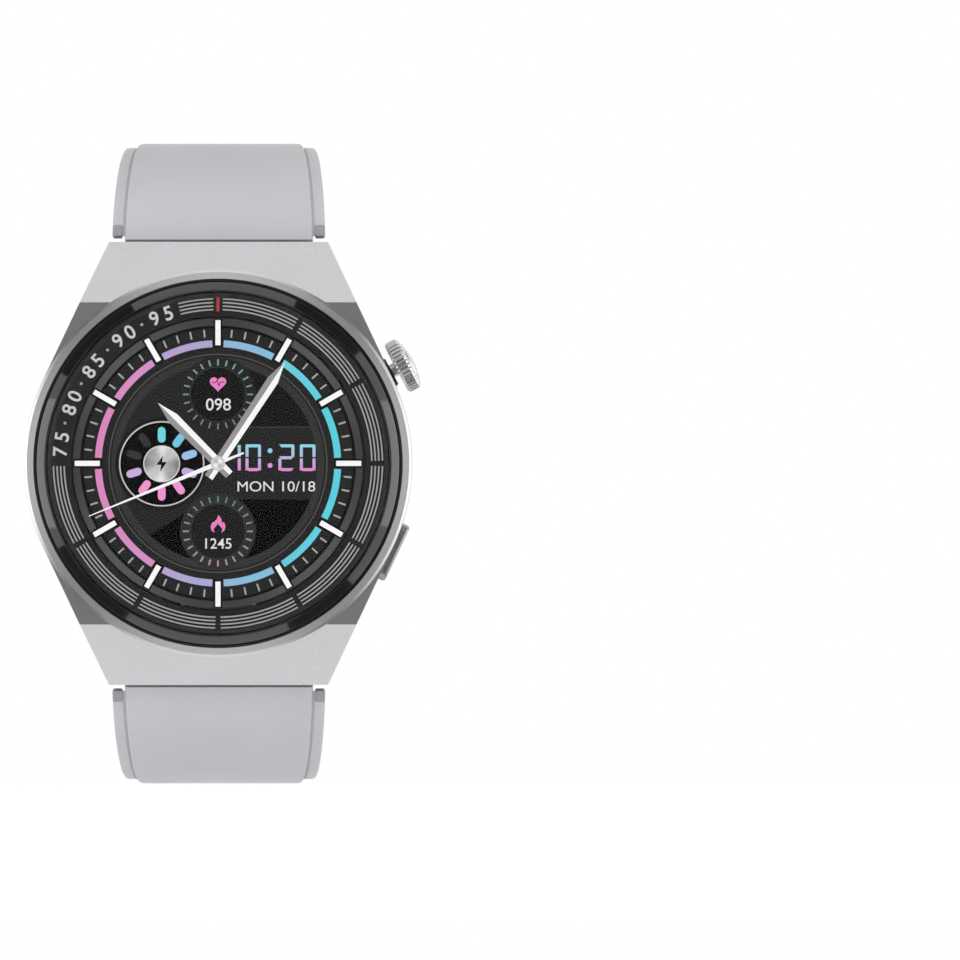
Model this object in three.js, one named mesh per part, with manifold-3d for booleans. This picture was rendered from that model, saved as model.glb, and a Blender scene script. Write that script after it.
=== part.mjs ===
import * as THREE from 'three';
import { mergeVertices } from 'three/addons/utils/BufferGeometryUtils.js';
import Module from 'manifold-3d';

// A smartwatch with a round case, a push-and-turn crown, a push button and a two-piece strap.
// Every size is in millimetres. The watch group's own axes are x to 3 o'clock, y to 12 o'clock
// and z out through the crystal, and z = 0 is the outer face of the sensor window on the back.

const wasm = await Module();
wasm.setup();

// Case
const caseRadius = 23.0;          // round middle of the case
const lugReach = 3.3;             // how far each lug end stands beyond the round
const facetLength = 7.2;          // sloping facet at each end
const hornThickness = 1.6;        // lug wall beside the strap
const caseHeight = 8.6;           // flat back to flat shoulder
const facetDrop = 2.8;            // how far the end facet falls towards the strap
const rimWidth = 1.1;             // silver rim round the bezel
const rimHeight = 0.8;            // rim above the shoulder
const wallThickness = 3.6;        // case side to the inner cavity
const circleSteps = 48;

// Front stack
const bezelGroove = 0.3;          // dark groove between rim and bezel
const bezelWidth = 1.25;
const bezelHeight = 2.75;
const bezelLedge = 1.35;          // inward ledge that carries the scale ring
const bezelLedgeThickness = 0.8;
const bezelChamfer = 0.9;
const crystalThickness = 1.05;
const crystalBevel = 0.3;
const gasketWidth = 0.55;
const scaleRingWidth = 2.35;
const scaleRingThickness = 0.85;
const displayThickness = 1.35;
const seatGap = 0.05;             // between faces that seat on each other
const fitGap = 0.15;              // round a piece that drops into a pocket

// Back stack
const windowProud = 0.8;          // sensor window beyond the back cover
const coverProud = 0.8;           // back cover beyond the case back
const coverThickness = 1.55;
const coverInset = 2.4;           // case radius to the recess the cover sits in
const coverRecess = 1.0;
const windowLedge = 0.95;
const screwRadius = 0.6;
const screwHeadRadius = 1.2;
const bossRadius = 1.7;
const bossHeight = 3.0;
const contactRadius = 1.0;
const magnetRadius = 2.0;

// Insides
const frameThickness = 0.8;
const boardThickness = 0.6;
const batteryThickness = 3.0;
const batteryCornerAngle = THREE.MathUtils.degToRad(44);
const sensorBoardThickness = 0.6;

// Crown and button
const sideAxisHeight = 5.9;       // height of both side axes above the window face
const crownOffset = THREE.MathUtils.degToRad(2.7);  // crown axis past the flank's normal
const crownRadius = 3.25;
const crownThickness = 1.7;       // fluted rim
const crownDome = 0.6;
const crownStandoff = 0.9;        // case flank to the crown's inner face
const crownTravel = 0.5;
const crownFlutes = 20;
const stemRadius = 0.8;
const sealRoom = 0.45;            // stem to its bore, filled by the seal ring
const tubeWall = 0.5;
const buttonLength = 7.2;
const buttonWidth = 2.6;
const buttonProud = 0.76;
const buttonDepth = 1.75;
const buttonTravel = 0.3;
const buttonShift = -0.66;        // button's middle along the flank
const switchDepth = 1.7;

// Strap
const lugSlotHalfWidth = 11.4;
const lugSlotInner = 4.7;         // slot's inner wall, back from the case end
const barInset = 2.1;             // spring-bar axis, back from the case end
const barHeight = 3.9;
const barRadius = 0.75;
const barTipRadius = 0.4;
const leverPlace = 7.4;           // release lever, from the middle of the bar
const leverTravel = 1.4;
const strapRootRadius = 2.1;
const slotClearance = 0.25;
const bandHalfWidths = [lugSlotHalfWidth - slotClearance, 9.6, 9.0];  // lug, side of the wrist, tip
const flangeHalfWidths = [lugSlotHalfWidth + hornThickness - 0.3, 11.25, 10.2];
const flangeDrop = 0.5;
const flangeStart = 0.7;          // flanges start this far out from the case end
const strapRootThickness = 3.2;
const strapTipThickness = 2.4;
const strapFirstRadius = 16.2;
const strapStartAngle = THREE.MathUtils.degToRad(75);
const strapStartHeight = 5.6;
const upperRadius = 28.0;
const upperStraight = 18.0;
const lowerRun = 12.0;            // straight run beside the wrist
const lowerRadius = 40.0;
const lowerTail = 17.0;
const holeCount = 7;
const holePitch = 6.5;
const holeWidth = 3.4;
const holeLength = 2.0;
const keeperWidth = 4.5;
const keeperWall = 1.3;
const keeperGap = 0.25;
const buckleBarRadius = 0.75;
const buckleRootRadius = 1.9;
const buckleArm = 2.6;
const buckleLength = 13.8;        // bar to the outside of the far cross-piece
const buckleThickness = 2.4;
const tongueHalfWidth = 1.1;

// Levels up through the watch
const coverFace = windowProud;
const caseBack = coverFace + coverProud;
const recessFloor = caseBack + coverRecess;
const shoulder = caseBack + caseHeight;
const caseHalfLength = caseRadius + lugReach;
const caseCrease = caseHalfLength - facetLength;
const caseEndHalfWidth = lugSlotHalfWidth + hornThickness;
const cavityRadius = caseRadius - wallThickness;
const pocketRadius = caseRadius - rimWidth;
const bezelRadius = pocketRadius - bezelGroove;
const bezelInner = bezelRadius - bezelWidth;
const crystalRadius = bezelInner - fitGap;
const bezelBase = shoulder + rimHeight + 0.9 - bezelHeight;
const gasketThickness = 0.25;
const pocketFloor = bezelBase - gasketThickness - 2 * seatGap;
const scaleBase = bezelBase + bezelLedgeThickness + seatGap;
const crystalBase = scaleBase + scaleRingThickness + 2 * seatGap;
const scaleOuter = bezelInner - gasketWidth - 2 * seatGap;
const scaleInner = scaleOuter - scaleRingWidth;
const displayRadius = scaleInner - fitGap;
const displayTop = crystalBase - fitGap;
const stemBore = stemRadius + sealRoom;
const crownTubeRadius = stemBore + tubeWall;
const flankAngle = Math.atan2(caseHalfLength, caseEndHalfWidth)
  - Math.acos(caseRadius / Math.hypot(caseEndHalfWidth, caseHalfLength));

const looks = {
  silver: [0xcccccf, 0.32, 1.0],
  crown: [0xc3c3c6, 0.25, 1.0],
  button: [0x79797b, 0.35, 1.0],
  gloss: [0x0a0a0c, 0.08, 0.0],
  glass: [0x20242a, 0.03, 0.0],
  screen: [0x101418, 0.2, 0.0],
  printed: [0x121214, 0.35, 0.0],
  rubber: [0x1c1c1e, 0.8, 0.0],
  plastic: [0x2a2b2e, 0.55, 0.0],
  board: [0x17442c, 0.5, 0.0],
  steel: [0xa9abae, 0.3, 1.0],
  gold: [0xc9a45a, 0.25, 1.0],
  cell: [0x8d9196, 0.45, 0.6],
  silicone: [0xc0c1c3, 0.6, 0.0],
};

function look(name) {
  const [color, roughness, metalness] = looks[name];
  return new THREE.MeshStandardMaterial({ color, roughness, metalness });
}

// A closed geometry as a solid: shared corners merged, thin triangles dropped, faces outwards.
function toSolid(geometry) {
  const bare = geometry.clone();
  bare.deleteAttribute('normal');
  bare.deleteAttribute('uv');
  const merged = mergeVertices(bare, 1e-4);
  const at = merged.attributes.position.array;
  const corners = merged.index.array;
  const triangles = [];
  let volume = 0;
  for (let i = 0; i < corners.length; i += 3) {
    const [a, b, c] = corners.slice(i, i + 3);
    if (a === b || b === c || c === a) continue;
    triangles.push([a, b, c]);
    const p = new THREE.Vector3().fromArray(at, 3 * a);
    const q = new THREE.Vector3().fromArray(at, 3 * b);
    const r = new THREE.Vector3().fromArray(at, 3 * c);
    volume += p.dot(q.cross(r));
  }
  const outward = volume < 0 ? triangles.map(([a, b, c]) => [a, c, b]) : triangles;
  const triVerts = Uint32Array.from(outward.flat());
  return new wasm.Manifold(new wasm.Mesh({ numProp: 3, vertProperties: Float32Array.from(at), triVerts }));
}

function toGeometry(solid) {
  const mesh = solid.getMesh();
  const geometry = new THREE.BufferGeometry();
  geometry.setAttribute('position', new THREE.BufferAttribute(mesh.vertProperties, 3));
  geometry.setIndex(new THREE.BufferAttribute(mesh.triVerts, 1));
  geometry.computeVertexNormals();
  return geometry;
}

function join(...shapes) {
  return toGeometry(shapes.map(toSolid).reduce((whole, next) => whole.add(next)));
}

function cut(shape, ...tools) {
  return toGeometry(tools.map(toSolid).reduce((whole, tool) => whole.subtract(tool), toSolid(shape)));
}

function block(x0, x1, y0, y1, z0, z1) {
  const box = new THREE.BoxGeometry(x1 - x0, y1 - y0, z1 - z0);
  return box.translate((x0 + x1) / 2, (y0 + y1) / 2, (z0 + z1) / 2);
}

function disc(radius, z0, z1, steps = circleSteps, x = 0, y = 0) {
  const cylinder = new THREE.CylinderGeometry(radius, radius, z1 - z0, steps);
  return cylinder.rotateX(Math.PI / 2).translate(x, y, (z0 + z1) / 2);
}

// A ring or a turned solid about z, from a closed outline of [radius, height] points.
function turned(points, steps = circleSteps) {
  const outline = points.map(([radius, height]) => new THREE.Vector2(radius, height));
  const onAxis = points[0][0] === 0 && points[points.length - 1][0] === 0;
  if (!onAxis) outline.push(outline[0].clone());
  return toGeometry(toSolid(new THREE.LatheGeometry(outline, steps).rotateX(Math.PI / 2)));
}

function ring(inner, outer, z0, z1, steps = circleSteps) {
  return turned([[inner, z0], [outer, z0], [outer, z1], [inner, z1]], steps);
}

function alongX(geometry) {
  return geometry.rotateY(Math.PI / 2);
}

function prism(points, z0, z1) {
  const shape = new THREE.Shape(points.map(([x, y]) => new THREE.Vector2(x, y)));
  const solid = new THREE.ExtrudeGeometry(shape, { depth: z1 - z0, bevelEnabled: false });
  return solid.translate(0, 0, z0);
}

// A flat side outline of [y, z] points, given its width along x.
function slab(points, x0, x1) {
  const upright = prism(points, x0, x1);
  const axes = [new THREE.Vector3(0, 1, 0), new THREE.Vector3(0, 0, 1), new THREE.Vector3(1, 0, 0)];
  return upright.applyMatrix4(new THREE.Matrix4().makeBasis(...axes));
}

function roundedBlock(width, length, corner, z0, z1, x = 0, y = 0) {
  const [w, l] = [width / 2, length / 2];
  const shape = new THREE.Shape();
  shape.absarc(w - corner, l - corner, corner, 0, Math.PI / 2);
  shape.absarc(corner - w, l - corner, corner, Math.PI / 2, Math.PI);
  shape.absarc(corner - w, corner - l, corner, Math.PI, 1.5 * Math.PI);
  shape.absarc(w - corner, corner - l, corner, 1.5 * Math.PI, 2 * Math.PI);
  const options = { depth: z1 - z0, bevelEnabled: false, curveSegments: 4 };
  return new THREE.ExtrudeGeometry(shape, options).translate(x, y, z0);
}

function polar(radius, angle) {
  return [radius * Math.cos(angle), radius * Math.sin(angle)];
}

function add(group, name, geometry, material) {
  const mesh = new THREE.Mesh(geometry, look(material));
  mesh.name = name;
  group.add(mesh);
}

const part = new THREE.Group();
const watch = new THREE.Group();
watch.rotation.x = Math.PI / 2;   // 12 o'clock up, crystal to the front
part.add(watch);

const crownAxis = flankAngle + crownOffset;
const crownSide = new THREE.Group();
crownSide.rotation.z = crownAxis;
crownSide.position.z = sideAxisHeight;
const buttonSide = new THREE.Group();
buttonSide.rotation.z = -flankAngle;
buttonSide.position.z = sideAxisHeight;
watch.add(crownSide, buttonSide);

// A shape made along a side axis, moved to where the case needs it as a cutting tool.
function atSide(geometry, angle) {
  return geometry.clone().rotateZ(angle).translate(0, 0, sideAxisHeight);
}

// Case: round middle, flanks tangent to it, and a lug with a hooded slot at each end.
const barOffset = caseHalfLength - barInset;
const hoodUnderside = barHeight + strapRootRadius + 0.4;
const bossPlace = cavityRadius - 1.2;
const cornerAngles = [45, 135, 225, 315].map((angle) => THREE.MathUtils.degToRad(angle));
const buttonStemBore = stemBore - 0.1;

function caseOutline() {
  const outline = new THREE.Shape();
  outline.moveTo(caseEndHalfWidth, caseHalfLength);
  outline.lineTo(-caseEndHalfWidth, caseHalfLength);
  outline.absarc(0, 0, caseRadius, Math.PI - flankAngle, Math.PI + flankAngle);
  outline.lineTo(-caseEndHalfWidth, -caseHalfLength);
  outline.lineTo(caseEndHalfWidth, -caseHalfLength);
  outline.absarc(0, 0, caseRadius, -flankAngle, flankAngle);
  return outline;
}

function lugCuts() {
  const slotInner = caseHalfLength - lugSlotInner;
  const end = caseHalfLength + 1;
  const slope = facetDrop / (caseHalfLength - caseCrease);
  const low = shoulder - slope * (end - caseCrease);
  const tools = [];
  for (const side of [1, -1]) {
    const [y0, y1] = side > 0 ? [slotInner, end] : [-end, -slotInner];
    tools.push(block(-lugSlotHalfWidth, lugSlotHalfWidth, y0, y1, 0, hoodUnderside));
    const facet = [[side * caseCrease, shoulder], [side * end, low], [side * end, shoulder + 1],
      [side * caseCrease, shoulder + 1]];
    tools.push(slab(facet, -caseRadius, caseRadius));
    const hole = alongX(disc(barTipRadius + 0.1, -lugSlotHalfWidth - 1, lugSlotHalfWidth + 1, 12));
    tools.push(hole.translate(0, side * barOffset, barHeight));
  }
  return tools;
}

function caseBody() {
  const options = { depth: caseHeight, bevelEnabled: false, curveSegments: 9 };
  const block0 = new THREE.ExtrudeGeometry(caseOutline(), options).translate(0, 0, caseBack);
  const faceted = cut(block0, ...lugCuts());
  const rim = turned([[pocketRadius - 1, shoulder - 1], [caseRadius - 0.05, shoulder - 1],
    [caseRadius - 0.05, shoulder + 0.45 * rimHeight], [pocketRadius + 0.45, shoulder + rimHeight],
    [pocketRadius - 1, shoulder + rimHeight]]);
  const hollow = cut(join(faceted, rim),
    disc(cavityRadius, recessFloor - 0.01, pocketFloor + 0.01),
    disc(pocketRadius, pocketFloor, shoulder + 2),
    disc(caseRadius - coverInset, 0, recessFloor));
  const bosses = cornerAngles.map((angle) => {
    const boss = disc(bossRadius, recessFloor, recessFloor + bossHeight, 16, ...polar(bossPlace, angle));
    const pilot = disc(screwRadius + 0.1, recessFloor - 1, recessFloor + bossHeight - 0.4, 12,
      ...polar(bossPlace, angle));
    return cut(boss, pilot);
  });
  const crownBore = alongX(disc(crownTubeRadius + 0.1, cavityRadius - 1, caseRadius + 3, 20));
  const crownPocket = alongX(disc(crownTubeRadius + 0.45, caseRadius - 0.5, caseRadius + 3, 20));
  const buttonBore = alongX(disc(buttonStemBore, cavityRadius - 1, caseRadius, 16))
    .translate(0, buttonShift, 0);
  const buttonSlot = block(caseRadius - buttonDepth + buttonProud - buttonTravel - 0.1, caseRadius + 2,
    buttonShift - buttonLength / 2 - fitGap, buttonShift + buttonLength / 2 + fitGap,
    -buttonWidth / 2 - fitGap, buttonWidth / 2 + fitGap);
  return cut(join(hollow, ...bosses), atSide(crownBore, crownAxis), atSide(crownPocket, crownAxis),
    atSide(buttonBore, -flankAngle), atSide(buttonSlot, -flankAngle));
}
add(watch, 'case_body', caseBody(), 'silver');

// Front: bezel ring, gaskets, scale ring, crystal and display.
function addFront() {
  const bezelTop = bezelBase + bezelHeight;
  const ledgeInner = bezelInner - bezelLedge;
  const ledgeTop = bezelBase + bezelLedgeThickness;
  add(watch, 'bezel_ring', turned([[ledgeInner, bezelBase], [bezelRadius, bezelBase],
    [bezelRadius, bezelTop - bezelChamfer], [bezelRadius - 0.5, bezelTop - 0.3],
    [bezelRadius - bezelWidth + 0.2, bezelTop], [bezelInner, bezelTop],
    [bezelInner, ledgeTop], [ledgeInner, ledgeTop]]), 'gloss');
  add(watch, 'bezel_gasket', ring(cavityRadius + 0.6, bezelRadius - 0.4, pocketFloor + seatGap,
    bezelBase - seatGap), 'rubber');
  add(watch, 'crystal_gasket', ring(scaleOuter + seatGap, bezelInner - seatGap, scaleBase,
    crystalBase - seatGap), 'rubber');
  add(watch, 'scale_ring', ring(scaleInner, scaleOuter, scaleBase,
    scaleBase + scaleRingThickness), 'printed');
  add(watch, 'crystal', turned([[0, crystalBase], [crystalRadius, crystalBase],
    [crystalRadius, crystalBase + crystalThickness - crystalBevel],
    [crystalRadius - crystalBevel, crystalBase + crystalThickness],
    [0, crystalBase + crystalThickness]]), 'glass');
  const displayBase = displayTop - displayThickness;
  add(watch, 'display_panel', disc(displayRadius, displayBase, displayTop), 'screen');
  const plateTop = displayBase - seatGap;
  const plateBase = plateTop - 0.2;
  add(watch, 'display_backplate', disc(displayRadius, plateBase, plateTop, 48), 'steel');
  return plateBase;
}
const plateBase = addFront();

// Insides, stacked below the display.
const frameBase = caseBack + 5.4;
const frameTop = frameBase + frameThickness;
const boardBase = frameTop + seatGap;
const boardTop = boardBase + boardThickness;
const batteryTop = frameBase - fitGap;
const batteryReach = bossPlace - bossRadius + 0.2;
const batteryHalfLength = batteryReach * Math.sin(batteryCornerAngle);
const batteryLeft = -batteryReach * Math.cos(batteryCornerAngle);
const switchBack = cavityRadius - 4.1;
const batteryRight = switchBack * Math.cos(flankAngle) - 5.3;

function addInsides() {
  const cutOut = (angle) => atSide(block(cavityRadius - 2, cavityRadius + 1, -2.4, 2.4, -3, 4), angle);
  const flexGap = block(-4.5, 4.5, -cavityRadius, 1.1 - displayRadius, frameBase - 1, frameTop + 1);
  add(watch, 'inner_frame', cut(disc(cavityRadius - fitGap, frameBase, frameTop, 48),
    cutOut(crownAxis), cutOut(-flankAngle), flexGap,
    roundedBlock(12, 14, 2, frameBase - 1, frameTop + 1, 0, 2)), 'plastic');
  const boardRadius = cavityRadius - 2.6;
  add(watch, 'main_board', cut(disc(boardRadius, boardBase, boardTop, 48),
    block(-5, 5, -boardRadius - 1, 3.4 - boardRadius, boardBase - 1, boardTop + 1)), 'board');
  const canTop = plateBase - 0.08;
  const canBase = boardTop + seatGap;
  add(watch, 'shield_can', cut(roundedBlock(13, 11, 0.8, canBase, canTop, -2, 4.5),
    roundedBlock(12.6, 10.6, 0.6, canBase - 1, canTop - 0.12, -2, 4.5)), 'steel');
  add(watch, 'processor_chip', block(-5, 1, 1.5, 7.5, canBase, canTop - 0.2), 'printed');
  add(watch, 'battery_cell', roundedBlock(batteryRight - batteryLeft, 2 * batteryHalfLength, 1.5,
    batteryTop - batteryThickness, batteryTop, (batteryLeft + batteryRight) / 2, 0), 'cell');
  const speakerY0 = -Math.sqrt((cavityRadius - 0.7) ** 2 - 5.5 ** 2);
  const speakerY1 = -batteryHalfLength - 0.5;
  add(watch, 'speaker_module', roundedBlock(11, speakerY1 - speakerY0, 1, batteryTop - 2.6,
    batteryTop, 0, (speakerY0 + speakerY1) / 2), 'plastic');
  const motorRadius = 2.9;
  add(watch, 'vibration_motor', disc(motorRadius, batteryTop - 2.5, batteryTop, 24, -4,
    batteryHalfLength + 0.3 + motorRadius), 'steel');
  add(watch, 'microphone', block(2.6, 6.2, batteryHalfLength + 1, batteryHalfLength + 3.6,
    batteryTop - 1, batteryTop), 'gold');
}
addInsides();

// The display's flex cable turns down round the board's cut edge and under the display plate.
function displayFlex() {
  const outer = -displayRadius - fitGap - 0.15;
  const top = displayTop - 1.0;
  const turn = boardTop + 0.12;
  const tail = 5.2 - displayRadius;
  const outline = [[outer + 0.15, top], [outer - 0.1, top], [outer - 0.1, turn - 0.02],
    [tail, turn - 0.02], [tail, turn + 0.13], [outer + 0.1, turn + 0.13]];
  return slab(outline, -4, 4);
}
add(watch, 'display_flex', displayFlex(), 'gold');

// Back: cover, gasket, screws, sensor window with its board, charging contacts and magnets.
const coverRadius = caseRadius - coverInset - fitGap;
const contactPlace = cavityRadius - 4.8;
const windowRadius = contactPlace - contactRadius - 2.5;
const windowThickness = windowProud + 0.75;
const lightOffset = 4.6;

function addBack() {
  const coverTop = coverFace + coverThickness;
  const magnetPlace = [6.6, -contactPlace + 0.2];
  const tools = [disc(windowRadius + fitGap, 0, windowThickness + seatGap, 36),
    disc(windowRadius - windowLedge, 0, coverTop + 1, 36)];
  for (const side of [-1, 1]) tools.push(disc(contactRadius + 0.1, 0, 4, 16, 2.2 * side, -contactPlace));
  for (const angle of cornerAngles) {
    tools.push(disc(screwHeadRadius + 0.15, 0, coverFace + 0.65, 16, ...polar(bossPlace, angle)));
    tools.push(disc(screwRadius + 0.15, 0, 4, 12, ...polar(bossPlace, angle)));
  }
  add(watch, 'back_cover', cut(turned([[0, coverFace], [coverRadius - 0.9, coverFace],
    [coverRadius, coverFace + 0.7], [coverRadius, coverTop], [0, coverTop]]), ...tools), 'plastic');
  add(watch, 'back_gasket', ring(cavityRadius + 0.15, coverRadius - 0.15, coverTop + 0.03,
    recessFloor - 0.03), 'rubber');
  cornerAngles.forEach((angle, index) => {
    const [x, y] = polar(bossPlace, angle);
    const headTop = coverFace + 0.6;
    const screw = join(disc(screwHeadRadius, coverFace + 0.1, headTop, 16, x, y),
      disc(screwRadius, headTop - 0.1, recessFloor + bossHeight - 1, 12, x, y));
    const slots = [block(x - 0.8, x + 0.8, y - 0.14, y + 0.14, 0, coverFace + 0.35),
      block(x - 0.14, x + 0.14, y - 0.8, y + 0.8, 0, coverFace + 0.35)];
    add(watch, `back_screw_${index + 1}`, cut(screw, ...slots), 'steel');
  });
  add(watch, 'sensor_window', turned([[0, 0], [windowRadius - 0.5, 0], [windowRadius, 0.5],
    [windowRadius, windowThickness], [0, windowThickness]], 36), 'gloss');
  const boardLevel = coverTop + 0.55;
  const lightCells = [0, -lightOffset, lightOffset].map((x) => (
    block(x - 1.4, x + 1.4, -1.4, 1.4, 0, boardLevel)));
  add(watch, 'light_baffle', cut(disc(windowRadius - windowLedge - fitGap, windowThickness + seatGap,
    boardLevel - seatGap, 36), ...lightCells), 'rubber');
  add(watch, 'sensor_board', disc(windowRadius - 0.5, boardLevel, boardLevel + sensorBoardThickness,
    36), 'board');
  const chip = (x) => block(x - 0.9, x + 0.9, -0.9, 0.9, boardLevel - 0.7, boardLevel - seatGap);
  add(watch, 'sensor_led_1', chip(-lightOffset), 'gold');
  add(watch, 'sensor_led_2', chip(lightOffset), 'gold');
  add(watch, 'photodiode', chip(0), 'printed');
  for (const [index, side] of [-1, 1].entries()) {
    add(watch, `charge_contact_${index + 1}`, disc(contactRadius, coverFace - 0.05, coverTop + 0.5,
      16, 2.2 * side, -contactPlace), 'gold');
    add(watch, `charge_magnet_${index + 1}`, disc(magnetRadius, coverTop + seatGap, coverTop + 1.2,
      20, magnetPlace[0] * side, magnetPlace[1]), 'steel');
  }
}
addBack();

// Crown: tube pressed in the case, stem with its seal and clip, fluted knob, plunger and switch.
function addCrown() {
  const tubeInner = cavityRadius - 0.4;
  const stemEnd = tubeInner - 0.5;
  const knobFace = caseRadius + crownStandoff;
  const knobRim = knobFace + crownThickness;
  const tube = turned([[stemBore, tubeInner], [crownTubeRadius, tubeInner],
    [crownTubeRadius, caseRadius + 0.3], [stemBore, caseRadius + 0.3]], 24);
  add(crownSide, 'crown_tube', alongX(tube), 'printed');
  add(crownSide, 'crown_stem', alongX(disc(stemRadius, stemEnd, knobFace + 0.9, 16)), 'steel');
  const knob = turned([[0, knobFace], [crownRadius - 0.25, knobFace], [crownRadius, knobFace + 0.25],
    [crownRadius, knobRim - 0.2], [crownRadius - 0.3, knobRim], [0.6 * crownRadius, knobRim + 0.75 * crownDome],
    [0, knobRim + crownDome]], 2 * crownFlutes);
  const socket = disc(stemRadius + seatGap, knobFace - 1, knobFace + 1, 16);
  const flutes = [];
  for (let i = 0; i < crownFlutes; i += 1) {
    const [x, y] = polar(crownRadius + 0.06, ((i + 0.5) * 2 * Math.PI) / crownFlutes);
    flutes.push(disc(0.2, knobFace - 1, knobRim + 1, 4, x, y));
  }
  add(crownSide, 'crown_knob', alongX(cut(knob, socket, ...flutes)), 'crown');
  const sealRadius = (stemRadius + stemBore) / 2;
  const seal = new THREE.TorusGeometry(sealRadius, 0.19, 5, 16).translate(0, 0, caseRadius - 1);
  add(crownSide, 'crown_o_ring', toGeometry(toSolid(alongX(seal))), 'rubber');
  add(crownSide, 'crown_clip', alongX(ring(stemRadius + 0.04, 1.4, tubeInner - 0.35,
    tubeInner - 0.15, 20)), 'steel');
  const plungerEnd = stemEnd - 0.08;
  add(crownSide, 'crown_plunger', alongX(disc(0.9, plungerEnd - 0.7, plungerEnd, 16)), 'plastic');
  const switchFront = plungerEnd - 0.7 - crownTravel - 0.08;
  add(crownSide, 'crown_switch', block(switchBack, switchFront, -1.7, 1.7, -0.9, 0.9), 'steel');
}
addCrown();

// Button: flat cap on a sealed stem that presses its own switch.
function addButton() {
  const inner = caseRadius + buttonProud - buttonDepth;
  const outer = caseRadius + buttonProud;
  const stemEnd = cavityRadius - 0.9;
  const cap = roundedBlock(buttonWidth, buttonLength, 0.9, inner, outer);
  const place = (geometry) => alongX(geometry).translate(0, buttonShift, 0);
  add(buttonSide, 'button_cap', place(cap), 'button');
  add(buttonSide, 'button_stem', place(disc(stemRadius - 0.1, stemEnd, inner - 0.03, 16)), 'steel');
  const sealRadius = (stemRadius - 0.1 + buttonStemBore) / 2;
  const seal = new THREE.TorusGeometry(sealRadius, 0.19, 5, 16).translate(0, 0, caseRadius - 2.3);
  add(buttonSide, 'button_seal', toGeometry(toSolid(place(seal))), 'rubber');
  add(buttonSide, 'button_clip', place(ring(stemRadius - 0.06, 1.5, cavityRadius - 0.6,
    cavityRadius - 0.4, 20)), 'steel');
  const switchFront = stemEnd - buttonTravel - 0.08;
  add(buttonSide, 'button_switch', block(switchBack, switchFront, buttonShift - 1.7,
    buttonShift + 1.7, -0.9, 0.9), 'steel');
}
addButton();

// One thin flex carries both switches: an upright strip on an arc behind them.
function sideKeyFlex() {
  const outline = new THREE.Shape();
  const start = -flankAngle - 0.16;
  const end = crownAxis + 0.14;
  outline.absarc(0, 0, switchBack - 0.05, start, end, false);
  outline.absarc(0, 0, switchBack - 0.25, end, start, true);
  const options = { depth: 1.9, bevelEnabled: false, curveSegments: 12 };
  return new THREE.ExtrudeGeometry(outline, options).translate(0, 0, sideAxisHeight - 0.95);
}
add(watch, 'side_key_flex', sideKeyFlex(), 'gold');

// Strap: each half is a curved band with a thinner flange on both edges. Its outer face follows
// a path in the y-z plane that leaves the lug, turns down beside the wrist and passes under it.
const strapStart = [caseHalfLength, strapStartHeight];
const turnY = strapStart[0] - strapFirstRadius * Math.cos(strapStartAngle);
const turnZ = strapStart[1] - strapFirstRadius * Math.sin(strapStartAngle);
const sideY = turnY + strapFirstRadius;

function upperPath() {
  const path = new THREE.Path();
  path.absarc(turnY, turnZ, strapFirstRadius, strapStartAngle, 0, true);
  path.absarc(sideY - upperRadius, turnZ, upperRadius, 0, -Math.PI / 2, true);
  path.lineTo(sideY - upperRadius - upperStraight, turnZ - upperRadius);
  return path;
}

function lowerPath() {
  const path = new THREE.Path();
  path.absarc(turnY, turnZ, strapFirstRadius, strapStartAngle, 0, true);
  path.lineTo(sideY, turnZ - lowerRun);
  path.absarc(sideY - lowerRadius, turnZ - lowerRun, lowerRadius, 0, -Math.PI / 2, true);
  path.lineTo(sideY - lowerRadius - lowerTail, turnZ - lowerRun - lowerRadius);
  return path;
}

// Station on a strap path: a point on the outer face and the outward normal there.
function station(path, share) {
  const point = path.getPointAt(share);
  const tangent = path.getTangentAt(share);
  return { point, normal: new THREE.Vector2(-tangent.y, tangent.x) };
}

function bandOutline(path, first, drop, side, steps) {
  const outer = [];
  const inner = [];
  for (let i = 0; i <= steps; i += 1) {
    const share = first + (1 - first) * (i / steps);
    const { point, normal } = station(path, share);
    const thickness = THREE.MathUtils.lerp(strapRootThickness, strapTipThickness,
      Math.min(1, share * 2.5));
    const top = point.clone().addScaledVector(normal, -drop);
    const bottom = point.clone().addScaledVector(normal, -thickness);
    outer.push([side * top.x, top.y]);
    inner.push([side * bottom.x, bottom.y]);
  }
  return [...outer, ...inner.reverse()];
}

// The strap narrows from the lug to the side of the wrist and on to its tip.
function taper(geometry, halfWidths, tipLevel) {
  const [root, side, tip] = halfWidths;
  const at = geometry.attributes.position;
  for (let i = 0; i < at.count; i += 1) {
    const z = at.getZ(i);
    const halfWidth = z > turnZ
      ? THREE.MathUtils.mapLinear(Math.min(z, strapStartHeight), turnZ, strapStartHeight, side, root)
      : THREE.MathUtils.mapLinear(z, tipLevel, turnZ, tip, side);
    at.setX(i, (at.getX(i) * halfWidth) / root);
  }
  return geometry;
}

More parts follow.
